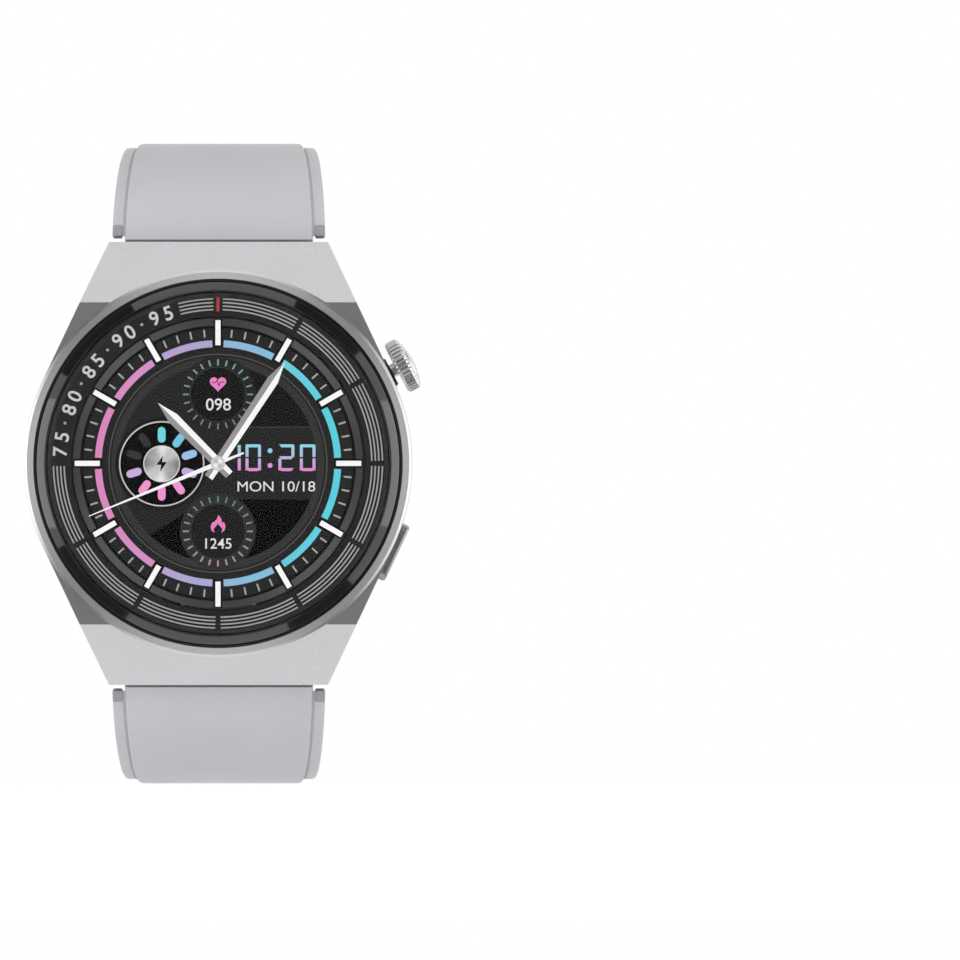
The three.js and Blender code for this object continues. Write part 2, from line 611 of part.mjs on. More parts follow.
function strapBody(path, side, tipLevel) {
  const length = path.getLength();
  const band = slab(bandOutline(path, 0, 0, side, 24), -bandHalfWidths[0], bandHalfWidths[0]);
  const flangeLine = slab(bandOutline(path, 0.5 * flangeStart / length, flangeDrop, side, 24),
    -flangeHalfWidths[0], flangeHalfWidths[0]);
  const lugEnd = side * (caseHalfLength + flangeStart);
  const flange = cut(flangeLine, block(-caseRadius, caseRadius, Math.min(0, lugEnd),
    Math.max(0, lugEnd), -strapRootThickness, caseHeight));
  const root = alongX(disc(strapRootRadius, -bandHalfWidths[0], bandHalfWidths[0], 24))
    .translate(0, side * barOffset, barHeight);
  const { point, normal } = station(path, 0);
  const foot = point.clone().addScaledVector(normal, -strapRootThickness);
  const neck = slab([[side * barOffset, barHeight + strapRootRadius], [side * point.x, point.y],
    [side * foot.x, foot.y], [side * barOffset, barHeight - strapRootRadius]],
    -bandHalfWidths[0], bandHalfWidths[0]);
  const body = join(taper(band, bandHalfWidths, tipLevel), taper(flange, flangeHalfWidths, tipLevel),
    root, neck);
  const bore = alongX(disc(barRadius + 0.1, -caseRadius, caseRadius, 16))
    .translate(0, side * barOffset, barHeight);
  const y = side * barOffset;
  const leverSlot = block(leverPlace - leverTravel - 0.7, leverPlace + 0.7, y - 0.55, y + 0.55,
    -1, barHeight);
  return cut(body, bore, leverSlot);
}

// A block that crosses the band at one station, for holes and slots.
function acrossBand(path, share, halfWidth, halfLength, side) {
  const { point, normal } = station(path, share);
  const turn = Math.atan2(normal.y, normal.x) - Math.PI / 2;
  const tool = block(-halfWidth, halfWidth, -halfLength, halfLength, -strapRootThickness - 2, 2);
  tool.rotateX(turn).translate(0, point.x, point.y);
  return side > 0 ? tool : tool.rotateZ(Math.PI);
}

// Quick-release bar: a tube with one fixed tip and one sprung pin that a small lever draws in.
function addSpringBar(clock, side) {
  const half = lugSlotHalfWidth - 0.5;
  const tip = lugSlotHalfWidth + 0.8;
  const bore = barTipRadius + 0.1;
  const place = (geometry) => geometry.translate(0, side * barOffset, barHeight);
  const tube = join(alongX(disc(barRadius, -half, half, 16)), alongX(disc(barTipRadius, -tip, 1 - half, 12)));
  const slot = block(leverPlace - leverTravel - 0.5, leverPlace + 0.5, -0.4, 0.4, -2, 0);
  const pinBore = alongX(disc(bore, 2, half + 1, 12));
  add(watch, `spring_bar_${clock}`, place(cut(tube, slot, pinBore)), 'steel');
  const pin = alongX(disc(barTipRadius, leverPlace - 2.2, tip, 12));
  const lever = disc(0.3, -2.5, 0, 8, leverPlace, 0);
  add(watch, `release_pin_${clock}`, place(join(pin, lever)), 'steel');
}
addSpringBar(12, 1);
addSpringBar(6, -1);

// Lower half, the one with the holes.
const lowerLine = lowerPath();
const lowerLevel = turnZ - lowerRun - lowerRadius;
function strapLower() {
  const holes = [];
  for (let i = 0; i < holeCount; i += 1) {
    const share = 1 - (12 + i * holePitch) / lowerLine.getLength();
    holes.push(acrossBand(lowerLine, share, holeWidth / 2, holeLength / 2, -1));
  }
  return cut(strapBody(lowerLine, -1, lowerLevel), ...holes);
}
add(watch, 'strap_lower', strapLower(), 'silicone');

// Upper half with the buckle bar at its end, and the two keepers round it.
const upperLine = upperPath();
const upperLevel = turnZ - upperRadius;
const bandMiddle = upperLevel + strapTipThickness / 2;
const barY = sideY - upperRadius - upperStraight - 0.2;
const tipHalfWidth = flangeHalfWidths[2];
const tongueRoom = tongueHalfWidth + 0.4;

function strapUpper() {
  const body = strapBody(upperLine, 1, upperLevel);
  const eye = alongX(disc(buckleRootRadius, -bandHalfWidths[2], bandHalfWidths[2], 24))
    .translate(0, barY, bandMiddle);
  const bore = alongX(disc(buckleBarRadius + 0.1, -caseRadius, caseRadius, 16))
    .translate(0, barY, bandMiddle);
  const eyeEnd = block(-caseRadius, caseRadius, barY, barY + buckleRootRadius + 1.2,
    upperLevel - 3, upperLevel + 6);
  const flanges = [-1, 1].map((side) => {
    const [x0, x1] = side > 0 ? [bandHalfWidths[2], caseRadius] : [-caseRadius, -bandHalfWidths[2]];
    return block(x0, x1, barY - 3, barY + buckleRootRadius + 1.2, upperLevel - 3, upperLevel + 6);
  });
  const tongueSlot = block(-tongueRoom, tongueRoom, barY - 3, barY + buckleRootRadius + 0.4,
    upperLevel - 3, upperLevel + 6);
  return cut(join(cut(body, cut(eyeEnd, block(-bandHalfWidths[2], bandHalfWidths[2], -caseRadius,
    caseRadius, upperLevel - 4, upperLevel + 7))), eye), bore, tongueSlot, ...flanges);
}
add(watch, 'strap_upper', strapUpper(), 'silicone');

function keeper(y) {
  const inside = 2 * (tipHalfWidth + keeperGap);
  const low = upperLevel - strapTipThickness - 2 * keeperGap - keeperWall;
  const high = upperLevel + strapTipThickness + keeperGap + keeperWall;
  const outer = roundedBlock(inside + 2 * keeperWall, high - low, 1.2, 0, keeperWidth);
  const inner = block(-inside / 2, inside / 2, low + keeperWall - (low + high) / 2,
    high - keeperWall - (low + high) / 2, -1, keeperWidth + 1);
  return cut(outer, inner).rotateX(-Math.PI / 2).translate(0, y, (low + high) / 2);
}
const fixedKeeperY = barY + buckleRootRadius + 1.6;
const freeKeeperY = fixedKeeperY + keeperWidth + 0.6;
add(watch, 'fixed_keeper', keeper(fixedKeeperY), 'silicone');
add(watch, 'free_keeper', keeper(freeKeeperY), 'silicone');

// Buckle: a frame that swings on the bar, and a tongue that lies on its far cross-piece.
function addBuckle() {
  const armInner = bandHalfWidths[2] + 0.5;
  const armOuter = armInner + buckleArm;
  const far = barY - buckleLength;
  const near = barY + 1.6;
  const low = bandMiddle - buckleThickness / 2;
  const high = bandMiddle + buckleThickness / 2;
  const outline = roundedBlock(2 * armOuter, near - far, 1.5, low, high, 0, (near + far) / 2);
  const windowCut = block(-armInner, armInner, far + buckleArm, near + 1, low - 1, high + 1);
  const bore = alongX(disc(buckleBarRadius + 0.05, 0.8 - armOuter, armOuter - 0.8, 16))
    .translate(0, barY, bandMiddle);
  add(watch, 'buckle_frame', cut(outline, windowCut, bore), 'silver');
  add(watch, 'buckle_pin', alongX(disc(buckleBarRadius, 0.9 - armOuter, armOuter - 0.9, 16))
    .translate(0, barY, bandMiddle), 'steel');
  const loop = alongX(disc(buckleRootRadius, -tongueHalfWidth, tongueHalfWidth, 20))
    .translate(0, barY, bandMiddle);
  const over = low - 0.15;
  const shaft = slab([[barY, bandMiddle - buckleRootRadius], [barY, bandMiddle - 0.6],
    [barY - buckleRootRadius, bandMiddle - 0.9], [far + buckleArm + 0.4, over],
    [far - 0.4, over], [far - 0.6, over - 0.6], [far + buckleArm, over - 1.3],
    [barY - 1.5, bandMiddle - buckleRootRadius - 0.2]], -tongueHalfWidth, tongueHalfWidth);
  const eye = alongX(disc(buckleBarRadius + 0.1, -3, 3, 16)).translate(0, barY, bandMiddle);
  add(watch, 'buckle_tongue', cut(join(loop, shaft), eye), 'steel');
}
addBuckle();

export default part;
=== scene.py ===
import math

import bmesh
import bpy
from mathutils import Matrix, Vector


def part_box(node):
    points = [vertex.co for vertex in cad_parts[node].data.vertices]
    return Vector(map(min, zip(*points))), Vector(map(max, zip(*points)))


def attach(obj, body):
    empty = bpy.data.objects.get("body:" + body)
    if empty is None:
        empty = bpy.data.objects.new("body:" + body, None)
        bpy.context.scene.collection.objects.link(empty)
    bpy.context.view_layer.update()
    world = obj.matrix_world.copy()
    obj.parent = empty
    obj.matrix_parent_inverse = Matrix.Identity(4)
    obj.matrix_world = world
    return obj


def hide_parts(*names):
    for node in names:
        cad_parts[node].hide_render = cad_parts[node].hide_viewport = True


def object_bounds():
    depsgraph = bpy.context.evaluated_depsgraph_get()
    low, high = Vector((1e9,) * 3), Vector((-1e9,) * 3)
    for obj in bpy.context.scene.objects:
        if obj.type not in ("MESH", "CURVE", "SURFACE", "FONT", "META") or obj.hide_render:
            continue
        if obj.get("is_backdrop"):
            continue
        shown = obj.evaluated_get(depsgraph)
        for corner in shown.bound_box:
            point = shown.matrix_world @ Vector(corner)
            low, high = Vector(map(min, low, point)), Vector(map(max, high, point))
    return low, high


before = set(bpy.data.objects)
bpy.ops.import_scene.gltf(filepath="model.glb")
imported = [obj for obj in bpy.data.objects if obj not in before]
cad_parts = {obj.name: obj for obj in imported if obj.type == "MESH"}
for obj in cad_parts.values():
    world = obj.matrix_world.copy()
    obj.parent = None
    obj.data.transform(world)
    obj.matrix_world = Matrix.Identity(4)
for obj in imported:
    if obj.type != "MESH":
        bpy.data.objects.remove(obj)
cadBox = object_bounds()
mm = 0.001


# shape helpers
# dial places are (x to 3 o'clock, up to 12 o'clock, out through the crystal), in millimetres

def dial(x, up, out):
    return Vector((x, -out, up)) * mm


def shifted(points, center):
    return [(center[0] + x, center[1] + up) for x, up in points]


def polar(radius, clockAngle):
    turn = math.radians(clockAngle)
    return radius * math.sin(turn), radius * math.cos(turn)


def newObject(name, bm):
    mesh = bpy.data.meshes.new(name)
    bm.to_mesh(mesh)
    bm.free()
    made = bpy.data.objects.new(name, mesh)
    bpy.context.scene.collection.objects.link(made)
    return made


def makePiece(name, bm, surface, body, replaced=(), smooth=True, sharpAngle=32):
    piece = newObject(name, bm)
    piece.data.materials.append(surface.material)
    if smooth:
        piece.data.shade_smooth()
        piece.data.set_sharp_from_angle(angle=math.radians(sharpAngle))
    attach(piece, body)
    if replaced:
        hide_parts(*replaced)
    return piece


def addBevel(piece, width, segments=3, angle=30):
    bevel = piece.modifiers.new("softEdges", "BEVEL")
    bevel.width = width * mm
    bevel.segments = segments
    bevel.limit_method = "ANGLE"
    bevel.angle_limit = math.radians(angle)
    bevel.harden_normals = True
    bevel.use_clamp_overlap = True


def applyModifiers(piece):
    view = bpy.context.evaluated_depsgraph_get()
    view.update()
    mesh = bpy.data.meshes.new_from_object(piece.evaluated_get(view))
    piece.modifiers.clear()
    piece.data = mesh


# cuts or joins shapes, then leaves the piece with only its own material
def cutWith(piece, cutters, operation="DIFFERENCE"):
    material = piece.data.materials[0]
    for cutter in cutters:
        boolean = piece.modifiers.new("cut", "BOOLEAN")
        boolean.operation = operation
        boolean.solver = "EXACT"
        boolean.object = cutter
    applyModifiers(piece)
    piece.data.materials.clear()
    piece.data.materials.append(material)
    for cutter in cutters:
        bpy.data.objects.remove(cutter)


def looseTool(bm):
    bmesh.ops.recalc_face_normals(bm, faces=bm.faces)
    return newObject("tool", bm)


def spunProfile(points, steps, closed=True):
    bm = bmesh.new()
    verts = [bm.verts.new(dial(radius, 0, height)) for radius, height in points]
    edges = [bm.edges.new(pair) for pair in zip(verts, verts[1:])]
    if closed:
        edges.append(bm.edges.new((verts[-1], verts[0])))
    bmesh.ops.spin(bm, geom=verts + edges, cent=(0, 0, 0), axis=(0, 1, 0), dvec=(0, 0, 0),
                   angle=2 * math.pi, steps=steps, use_merge=True)
    bmesh.ops.remove_doubles(bm, verts=bm.verts, dist=1e-7)
    bmesh.ops.recalc_face_normals(bm, faces=bm.faces)
    return bm


# a spun solid whose profile starts and ends on the axis
def spunSolid(points, steps):
    return spunProfile(points, steps, closed=False)


def plug(radius, low, high, steps):
    return spunSolid([(0, low), (radius, low), (radius, high), (0, high)], steps)


def boxShape(low, high):
    bm = bmesh.new()
    bmesh.ops.create_cube(bm, size=1)
    size = Vector(high) - Vector(low)
    bmesh.ops.scale(bm, vec=size, verts=bm.verts)
    bmesh.ops.translate(bm, vec=(Vector(high) + Vector(low)) / 2, verts=bm.verts)
    return bm


def dialBox(x0, x1, up0, up1, out0, out1):
    return boxShape((x0 * mm, -out1 * mm, up0 * mm), (x1 * mm, -out0 * mm, up1 * mm))


def sweptOutline(outline, low, high, place):
    bm = bmesh.new()
    face = bm.faces.new([bm.verts.new(place(a, b, low)) for a, b in outline])
    lifted = bmesh.ops.extrude_face_region(bm, geom=[face])
    tops = [item for item in lifted["geom"] if isinstance(item, bmesh.types.BMVert)]
    bmesh.ops.translate(bm, vec=place(0, 0, high) - place(0, 0, low), verts=tops)
    bmesh.ops.recalc_face_normals(bm, faces=bm.faces)
    return bm


def prism(outline, out0, out1):
    return sweptOutline(outline, out0, out1, dial)


def roundedOutline(width, height, radius, steps=6, x=0.0, up=0.0):
    points = []
    for quarter, (sx, su) in enumerate([(1, 1), (-1, 1), (-1, -1), (1, -1)]):
        cx, cu = x + sx * (width / 2 - radius), up + su * (height / 2 - radius)
        for step in range(steps + 1):
            turn = (quarter + step / steps) * math.pi / 2
            points.append((cx + radius * math.cos(turn), cu + radius * math.sin(turn)))
    return points


# turns a dial shape so that its out axis points along a side axis of the case
def turnToSide(bm, clockAngle, height):
    s, c = math.sin(math.radians(clockAngle)), math.cos(math.radians(clockAngle))
    matrix = Matrix(((0, -s, c), (-1, 0, 0), (0, -c, -s))).to_4x4()
    bmesh.ops.transform(bm, matrix=matrix, verts=bm.verts)
    bmesh.ops.translate(bm, vec=dial(0, 0, height), verts=bm.verts)
    return bm


# node helpers
def socketsOf(group, side, entries):
    for name, kind, value in entries:
        socket = group.interface.new_socket(name=name, in_out=side, socket_type=kind)
        if value is not None:
            socket.default_value = value


def linked(tree, source, target):
    tree.links.new(source, target)


def newNodes(tree, *kinds):
    return [tree.nodes.new("ShaderNode" + kind) for kind in kinds]


# fine moulded or blasted grain: a height for bump and a slow colour change
def grainGroup():
    group = bpy.data.node_groups.new("surfaceGrain", "ShaderNodeTree")
    socketsOf(group, "INPUT", [("Vector", "NodeSocketVector", None),
                               ("Grain Scale", "NodeSocketFloat", 4000.0),
                               ("Patch Scale", "NodeSocketFloat", 60.0)])
    socketsOf(group, "OUTPUT", [("Height", "NodeSocketFloat", None),
                                ("Patches", "NodeSocketFloat", None)])
    entry, leave = group.nodes.new("NodeGroupInput"), group.nodes.new("NodeGroupOutput")
    grain, patches = newNodes(group, "TexNoise", "TexNoise")
    grain.inputs["Detail"].default_value = 2
    patches.inputs["Detail"].default_value = 4
    for texture, scale in ((grain, "Grain Scale"), (patches, "Patch Scale")):
        linked(group, entry.outputs["Vector"], texture.inputs["Vector"])
        linked(group, entry.outputs[scale], texture.inputs["Scale"])
    linked(group, grain.outputs["Fac"], leave.inputs["Height"])
    linked(group, patches.outputs["Fac"], leave.inputs["Patches"])
    return group


# long fine scratches along one direction, as a brush or belt leaves them
def brushedGroup():
    group = bpy.data.node_groups.new("brushedLines", "ShaderNodeTree")
    socketsOf(group, "INPUT", [("Vector", "NodeSocketVector", None),
                               ("Stretch", "NodeSocketVector", (20, 3000, 3000))])
    socketsOf(group, "OUTPUT", [("Lines", "NodeSocketFloat", None)])
    entry, leave = group.nodes.new("NodeGroupInput"), group.nodes.new("NodeGroupOutput")
    scaled, lines = newNodes(group, "VectorMath", "TexNoise")
    scaled.operation = "MULTIPLY"
    lines.inputs["Scale"].default_value = 1
    lines.inputs["Detail"].default_value = 3
    linked(group, entry.outputs["Vector"], scaled.inputs[0])
    linked(group, entry.outputs["Stretch"], scaled.inputs[1])
    linked(group, scaled.outputs[0], lines.inputs["Vector"])
    linked(group, lines.outputs["Fac"], leave.inputs["Lines"])
    return group


# rubbed edges and handling marks: a mask that follows the corners, broken up by noise
def wearGroup():
    group = bpy.data.node_groups.new("edgeWear", "ShaderNodeTree")
    socketsOf(group, "INPUT", [("Vector", "NodeSocketVector", None),
                               ("Edge Width", "NodeSocketFloat", 0.00016)])
    socketsOf(group, "OUTPUT", [("Wear", "NodeSocketFloat", None), ("Smudge", "NodeSocketFloat", None)])
    entry, leave = group.nodes.new("NodeGroupInput"), group.nodes.new("NodeGroupOutput")
    shape, rounded, turned = newNodes(group, "NewGeometry", "Bevel", "VectorMath")
    breakup, smear, edge, product = newNodes(group, "TexNoise", "TexNoise", "MapRange", "Math")
    rounded.samples = 4
    turned.operation, product.operation = "DOT_PRODUCT", "MULTIPLY"
    breakup.inputs["Scale"].default_value = 900
    smear.inputs["Scale"].default_value = 70
    smear.inputs["Detail"].default_value = 2
    smear.inputs["Distortion"].default_value = 0.6
    for name, value in (("From Min", 0.985), ("From Max", 0.8), ("To Min", 0.0), ("To Max", 1.0)):
        edge.inputs[name].default_value = value
    linked(group, entry.outputs["Edge Width"], rounded.inputs["Radius"])
    linked(group, rounded.outputs["Normal"], turned.inputs[0])
    linked(group, shape.outputs["Normal"], turned.inputs[1])
    linked(group, turned.outputs["Value"], edge.inputs["Value"])
    for texture in (breakup, smear):
        linked(group, entry.outputs["Vector"], texture.inputs["Vector"])
    linked(group, edge.outputs["Result"], product.inputs[0])
    linked(group, breakup.outputs["Fac"], product.inputs[1])
    linked(group, product.outputs[0], leave.inputs["Wear"])
    linked(group, smear.outputs["Fac"], leave.inputs["Smudge"])
    return group


surfaceGrain, brushedLines, edgeWear = grainGroup(), brushedGroup(), wearGroup()


class Surface:
    def __init__(self, name):
        self.material = bpy.data.materials.new(name)
        self.material.use_nodes = True
        self.tree = self.material.node_tree
        self.shader = self.tree.nodes["Principled BSDF"]
        self.place = self.tree.nodes.new("ShaderNodeTexCoord")

    def set(self, **values):
        for name, value in values.items():
            self.shader.inputs[name.replace("_", " ")].default_value = value
        return self

    def group(self, tree, **values):
        node = self.tree.nodes.new("ShaderNodeGroup")
        node.node_tree = tree
        linked(self.tree, self.place.outputs["Object"], node.inputs["Vector"])
        for name, value in values.items():
            node.inputs[name.replace("_", " ")].default_value = value
        return node

    def blendColors(self, source, low, high, start=0.3, stop=0.7):
        ramp = self.tree.nodes.new("ShaderNodeValToRGB")
        ramp.color_ramp.elements[0].position, ramp.color_ramp.elements[1].position = start, stop
        ramp.color_ramp.elements[0].color, ramp.color_ramp.elements[1].color = (*low, 1), (*high, 1)
        linked(self.tree, source, ramp.inputs["Fac"])
        return ramp.outputs["Color"]

    def ranged(self, source, low, high):
        spread = self.tree.nodes.new("ShaderNodeMapRange")
        for name, value in (("From Min", 0.3), ("From Max", 0.7), ("To Min", low), ("To Max", high)):
            spread.inputs[name].default_value = value
        linked(self.tree, source, spread.inputs["Value"])
        return spread.outputs["Result"]

    def mixed(self, mask, under, over):
        mix = self.tree.nodes.new("ShaderNodeMix")
        mix.data_type = "RGBA"
        linked(self.tree, mask, mix.inputs["Factor"])
        linked(self.tree, under, mix.inputs["A"])
        mix.inputs["B"].default_value = (*over, 1)
        return mix.outputs["Result"]

    def feed(self, name, source):
        linked(self.tree, source, self.shader.inputs[name])
        return self

    def bump(self, height, strength, distance):
        bump = self.tree.nodes.new("ShaderNodeBump")
        bump.inputs["Strength"].default_value = strength
        bump.inputs["Distance"].default_value = distance
        linked(self.tree, height, bump.inputs["Height"])
        linked(self.tree, bump.outputs["Normal"], self.shader.inputs["Normal"])
        return self


def metalSurface(name, low, high, roughLow, roughHigh, stretch=None, grainScale=5000.0,
                 wear=(0.9, 0.9, 0.91), bump=0.1):
    surface = Surface(name).set(Metallic=1.0)
    marks = surface.group(edgeWear)
    grain = surface.group(surfaceGrain, Grain_Scale=grainScale, Patch_Scale=45.0)
    if stretch:
        lines = surface.group(brushedLines, Stretch=stretch).outputs["Lines"]
    else:
        lines = grain.outputs["Height"]
    base = surface.blendColors(lines, low, high)
    surface.feed("Base Color", surface.mixed(marks.outputs["Wear"], base, wear))
    surface.feed("Roughness", surface.ranged(marks.outputs["Smudge"], roughLow, roughHigh))
    return surface.bump(lines, bump, 0.00002)


def polymerSurface(name, low, high, roughLow, roughHigh, grainScale=2600.0, bump=0.25, wear=None):
    surface = Surface(name)
    marks = surface.group(edgeWear)
    grain = surface.group(surfaceGrain, Grain_Scale=grainScale, Patch_Scale=70.0)
    base = surface.blendColors(grain.outputs["Patches"], low, high)
    surface.feed("Base Color", surface.mixed(marks.outputs["Wear"], base, wear) if wear else base)
    surface.feed("Roughness", surface.ranged(marks.outputs["Smudge"], roughLow, roughHigh))
    return surface.bump(grain.outputs["Height"], bump, 0.00005)

# case: round middle, tangent flanks, sloping end facets, hooded lug slots
case = {
    "radius": 23.0,
    "halfLength": 26.3,
    "endHalfWidth": 13.0,
    "crease": 19.1,
    "back": 1.6,
    "shoulder": 10.2,
    "facetDrop": 2.8,
    "rimWidth": 1.1,
    "rimHeight": 0.8,
    "slotHalfWidth": 11.4,
    "slotInner": 21.6,
    "hoodUnderside": 6.4,
    "sideHeight": 5.9,
    "bezelSeat": 8.85,
    "cavityRadius": 19.4,
    "cavityTop": 9.5,
    "coverPocket": 20.6,
    "coverSeat": 2.6,
    "crownBore": 1.85,
    "crownPocket": 2.25,
    "crownPocketStart": 22.4,
    "boreStart": 17,
    "pocketEnd": 26,
    "buttonSlot": (2.9, 7.5, 1.1),
    "buttonSlotStart": 21.6,
    "buttonShift": 0.66,
    "sharpAngle": 12,
    "edgeBevel": 0.12,
    "roundSteps": 96,
}
flank = math.degrees(math.atan2(case["halfLength"], case["endHalfWidth"])
                     - math.acos(case["radius"] / math.hypot(case["halfLength"], case["endHalfWidth"])))
crownClock = 90 - flank - 2.7
buttonClock = 90 + flank


def caseOutline():
    end, half, steps = case["endHalfWidth"], case["halfLength"], case["roundSteps"] // 4
    points = []
    for middle, side in ((90, 1), (270, -1)):
        points.append((side * end, side * half))
        points += [polar(case["radius"], middle + flank * (2 * step / steps - 1))
                   for step in range(steps + 1)]
        points.append((side * end, -side * half))
    return points


def makeCase(surface):
    shell = prism(caseOutline(), case["back"], case["shoulder"])
    slope = math.atan2(case["facetDrop"], case["halfLength"] - case["crease"])
    for side in (1, -1):
        cut = bmesh.ops.bisect_plane(shell, geom=shell.verts[:] + shell.edges[:] + shell.faces[:],
                                     plane_co=dial(0, side * case["crease"], case["shoulder"]),
                                     plane_no=dial(0, side * math.sin(slope),
                                                   math.cos(slope)).normalized(),
                                     clear_outer=True)
        rim = [item for item in cut["geom_cut"] if isinstance(item, bmesh.types.BMEdge)]
        bmesh.ops.holes_fill(shell, edges=rim)
    bmesh.ops.recalc_face_normals(shell, faces=shell.faces)
    piece = makePiece("caseShell", shell, surface, "case", ["case_body"],
                      sharpAngle=case["sharpAngle"])
    rimOut, rimIn, top = case["radius"] - 0.03, case["radius"] - case["rimWidth"], case["shoulder"]
    rim = looseTool(spunProfile([(rimIn - 1, top - 1.5), (rimOut, top - 1.5), (rimOut, top + 0.42),
                                 (rimOut - 0.3, top + case["rimHeight"] - 0.2),
                                 (rimIn, top + case["rimHeight"]),
                                 (rimIn - 1, top + case["rimHeight"])], 160))
    cutWith(piece, [rim], "UNION")
    tools = [looseTool(plug(rimIn, case["bezelSeat"], 14, 160)),
             looseTool(plug(case["cavityRadius"], case["coverSeat"], case["cavityTop"], 96)),
             looseTool(plug(case["coverPocket"], 0, case["coverSeat"], 128))]
    for side in (1, -1):
        near, far = sorted((side * case["slotInner"], side * 28))
        tools.append(looseTool(dialBox(-case["slotHalfWidth"], case["slotHalfWidth"], near, far, 0,
                                       case["hoodUnderside"])))
    bore, pocket, step = case["crownBore"], case["crownPocket"], case["crownPocketStart"]
    crownHole = spunSolid([(0, case["boreStart"]), (bore, case["boreStart"]), (bore, step),
                           (pocket, step),
                           (pocket, case["pocketEnd"]), (0, case["pocketEnd"])], 40)
    tools.append(looseTool(turnToSide(crownHole, crownClock, case["sideHeight"])))
    slot = prism(roundedOutline(*case["buttonSlot"]), case["buttonSlotStart"], case["pocketEnd"])
    bmesh.ops.translate(slot, vec=dial(0, case["buttonShift"], 0), verts=slot.verts)
    tools.append(looseTool(turnToSide(slot, buttonClock, case["sideHeight"])))
    cutWith(piece, tools)
    piece.data.set_sharp_from_angle(angle=math.radians(case["sharpAngle"]))
    addBevel(piece, case["edgeBevel"], angle=15)


caseMetal = metalSurface("satinCaseMetal", (0.645, 0.65, 0.665), (0.70, 0.705, 0.72), 0.29, 0.33,
                         grainScale=4200.0,
                         bump=0.06)
makeCase(caseMetal)
print("case made")

# bezel ring, crystal and the printed scale under the crystal's edge
front = {
    "bezelOuter": 21.6,
    "bezelInner": 20.35,
    "bezelBase": 9.15,
    "bezelTop": 11.9,
    "ledgeInner": 19.0,
    "crystalRadius": 20.2,
    "crystalBase": 10.95,
    "crystalTop": 12.0,
    "scaleOuter": 19.7,
    "scaleInner": 17.35,
    "scaleTop": 10.85,
    "displayRadius": 17.2,
    "displayBase": 9.45,
    "displayTop": 10.76,
    "steps": 192,
}


def srgb(red, green, blue):
    return tuple((part / 255 / 12.92) if part <= 10 else ((part / 255 + 0.055) / 1.055) ** 2.4
                 for part in (red, green, blue))


def grey(value):
    return srgb(value, value, value)


# flat printed or lit shapes that carry their own colour in a "tint" attribute
class Artwork:
    def __init__(self, thickness=0.006):
        self.bm = bmesh.new()
        self.tint = self.bm.loops.layers.float_color.new("tint")
        self.thickness = thickness

    def paint(self, faces, tint):
        for face in faces:
            for loop in face.loops:
                place = loop.vert.co
                color = tint(place.x / mm, place.z / mm) if callable(tint) else tint
                loop[self.tint] = (*color, 1)

    def lift(self, faces, tint):
        lifted = bmesh.ops.extrude_face_region(self.bm, geom=faces)
        tops = [item for item in lifted["geom"] if isinstance(item, bmesh.types.BMVert)]
        bmesh.ops.translate(self.bm, vec=dial(0, 0, self.thickness), verts=tops)
        touched = {face for vert in tops for face in vert.link_faces} | {f for f in faces if f.is_valid}
        self.paint(touched, tint)

    def patch(self, outline, level, tint):
        face = self.bm.faces.new([self.bm.verts.new(dial(x, up, level)) for x, up in outline])
        self.lift([face], tint)

    def band(self, inner, outer, start, stop, level, tint, center=(0, 0), stepAngle=3.0):
        steps = max(1, math.ceil((stop - start) / stepAngle))
        rows = []
        for step in range(steps + 1):
            clock = start + (stop - start) * step / steps
            rows.append([self.bm.verts.new(dial(center[0] + x, center[1] + up, level))
                         for x, up in (polar(inner, clock), polar(outer, clock))])
        self.lift([self.bm.faces.new((a[0], a[1], b[1], b[0])) for a, b in zip(rows, rows[1:])], tint)

    def circle(self, radius, level, tint, center=(0, 0), steps=48):
        rim = [polar(radius, -360 * step / steps) for step in range(steps)]
        self.patch(shifted(rim, center), level, tint)

    def bar(self, clock, inner, outer, width, level, tint, center=(0, 0)):
        x, up = polar(1, clock)
        half = width / 2
        corners = [(inner, -half), (inner, half), (outer, half), (outer, -half)]
        self.patch([(center[0] + r * x + w * up, center[1] + r * up - w * x) for r, w in corners], level,
                   tint)

    def text(self, words, height, level, tint, width=None, center=(0, 0), turn=0.0, weight=0.0):
        curve = bpy.data.curves.new("words", "FONT")
        curve.body, curve.offset = words, weight
        holder = bpy.data.objects.new("words", curve)
        bpy.context.scene.collection.objects.link(holder)
        view = bpy.context.evaluated_depsgraph_get()
        view.update()
        mesh = bpy.data.meshes.new_from_object(holder.evaluated_get(view))
        bpy.data.objects.remove(holder)
        low = [min(vert.co[axis] for vert in mesh.vertices) for axis in (0, 1)]
        high = [max(vert.co[axis] for vert in mesh.vertices) for axis in (0, 1)]
        tall = height / (high[1] - low[1])
        wide = width / (high[0] - low[0]) if width else tall
        c, s = math.cos(math.radians(turn)), math.sin(math.radians(turn))
        verts = []
        for vert in mesh.vertices:
            x = (vert.co.x - (low[0] + high[0]) / 2) * wide
            up = (vert.co.y - (low[1] + high[1]) / 2) * tall
            verts.append(self.bm.verts.new(dial(center[0] + x * c + up * s, center[1] - x * s + up * c,
                                                level)))
        faces = [self.bm.faces.new([verts[index] for index in polygon.vertices])
                 for polygon in mesh.polygons]
        self.lift(faces, tint)

    def finish(self, name, surface, slotName):
        bmesh.ops.recalc_face_normals(self.bm, faces=self.bm.faces)
        makePiece(name, self.bm, surface, "case", smooth=False)


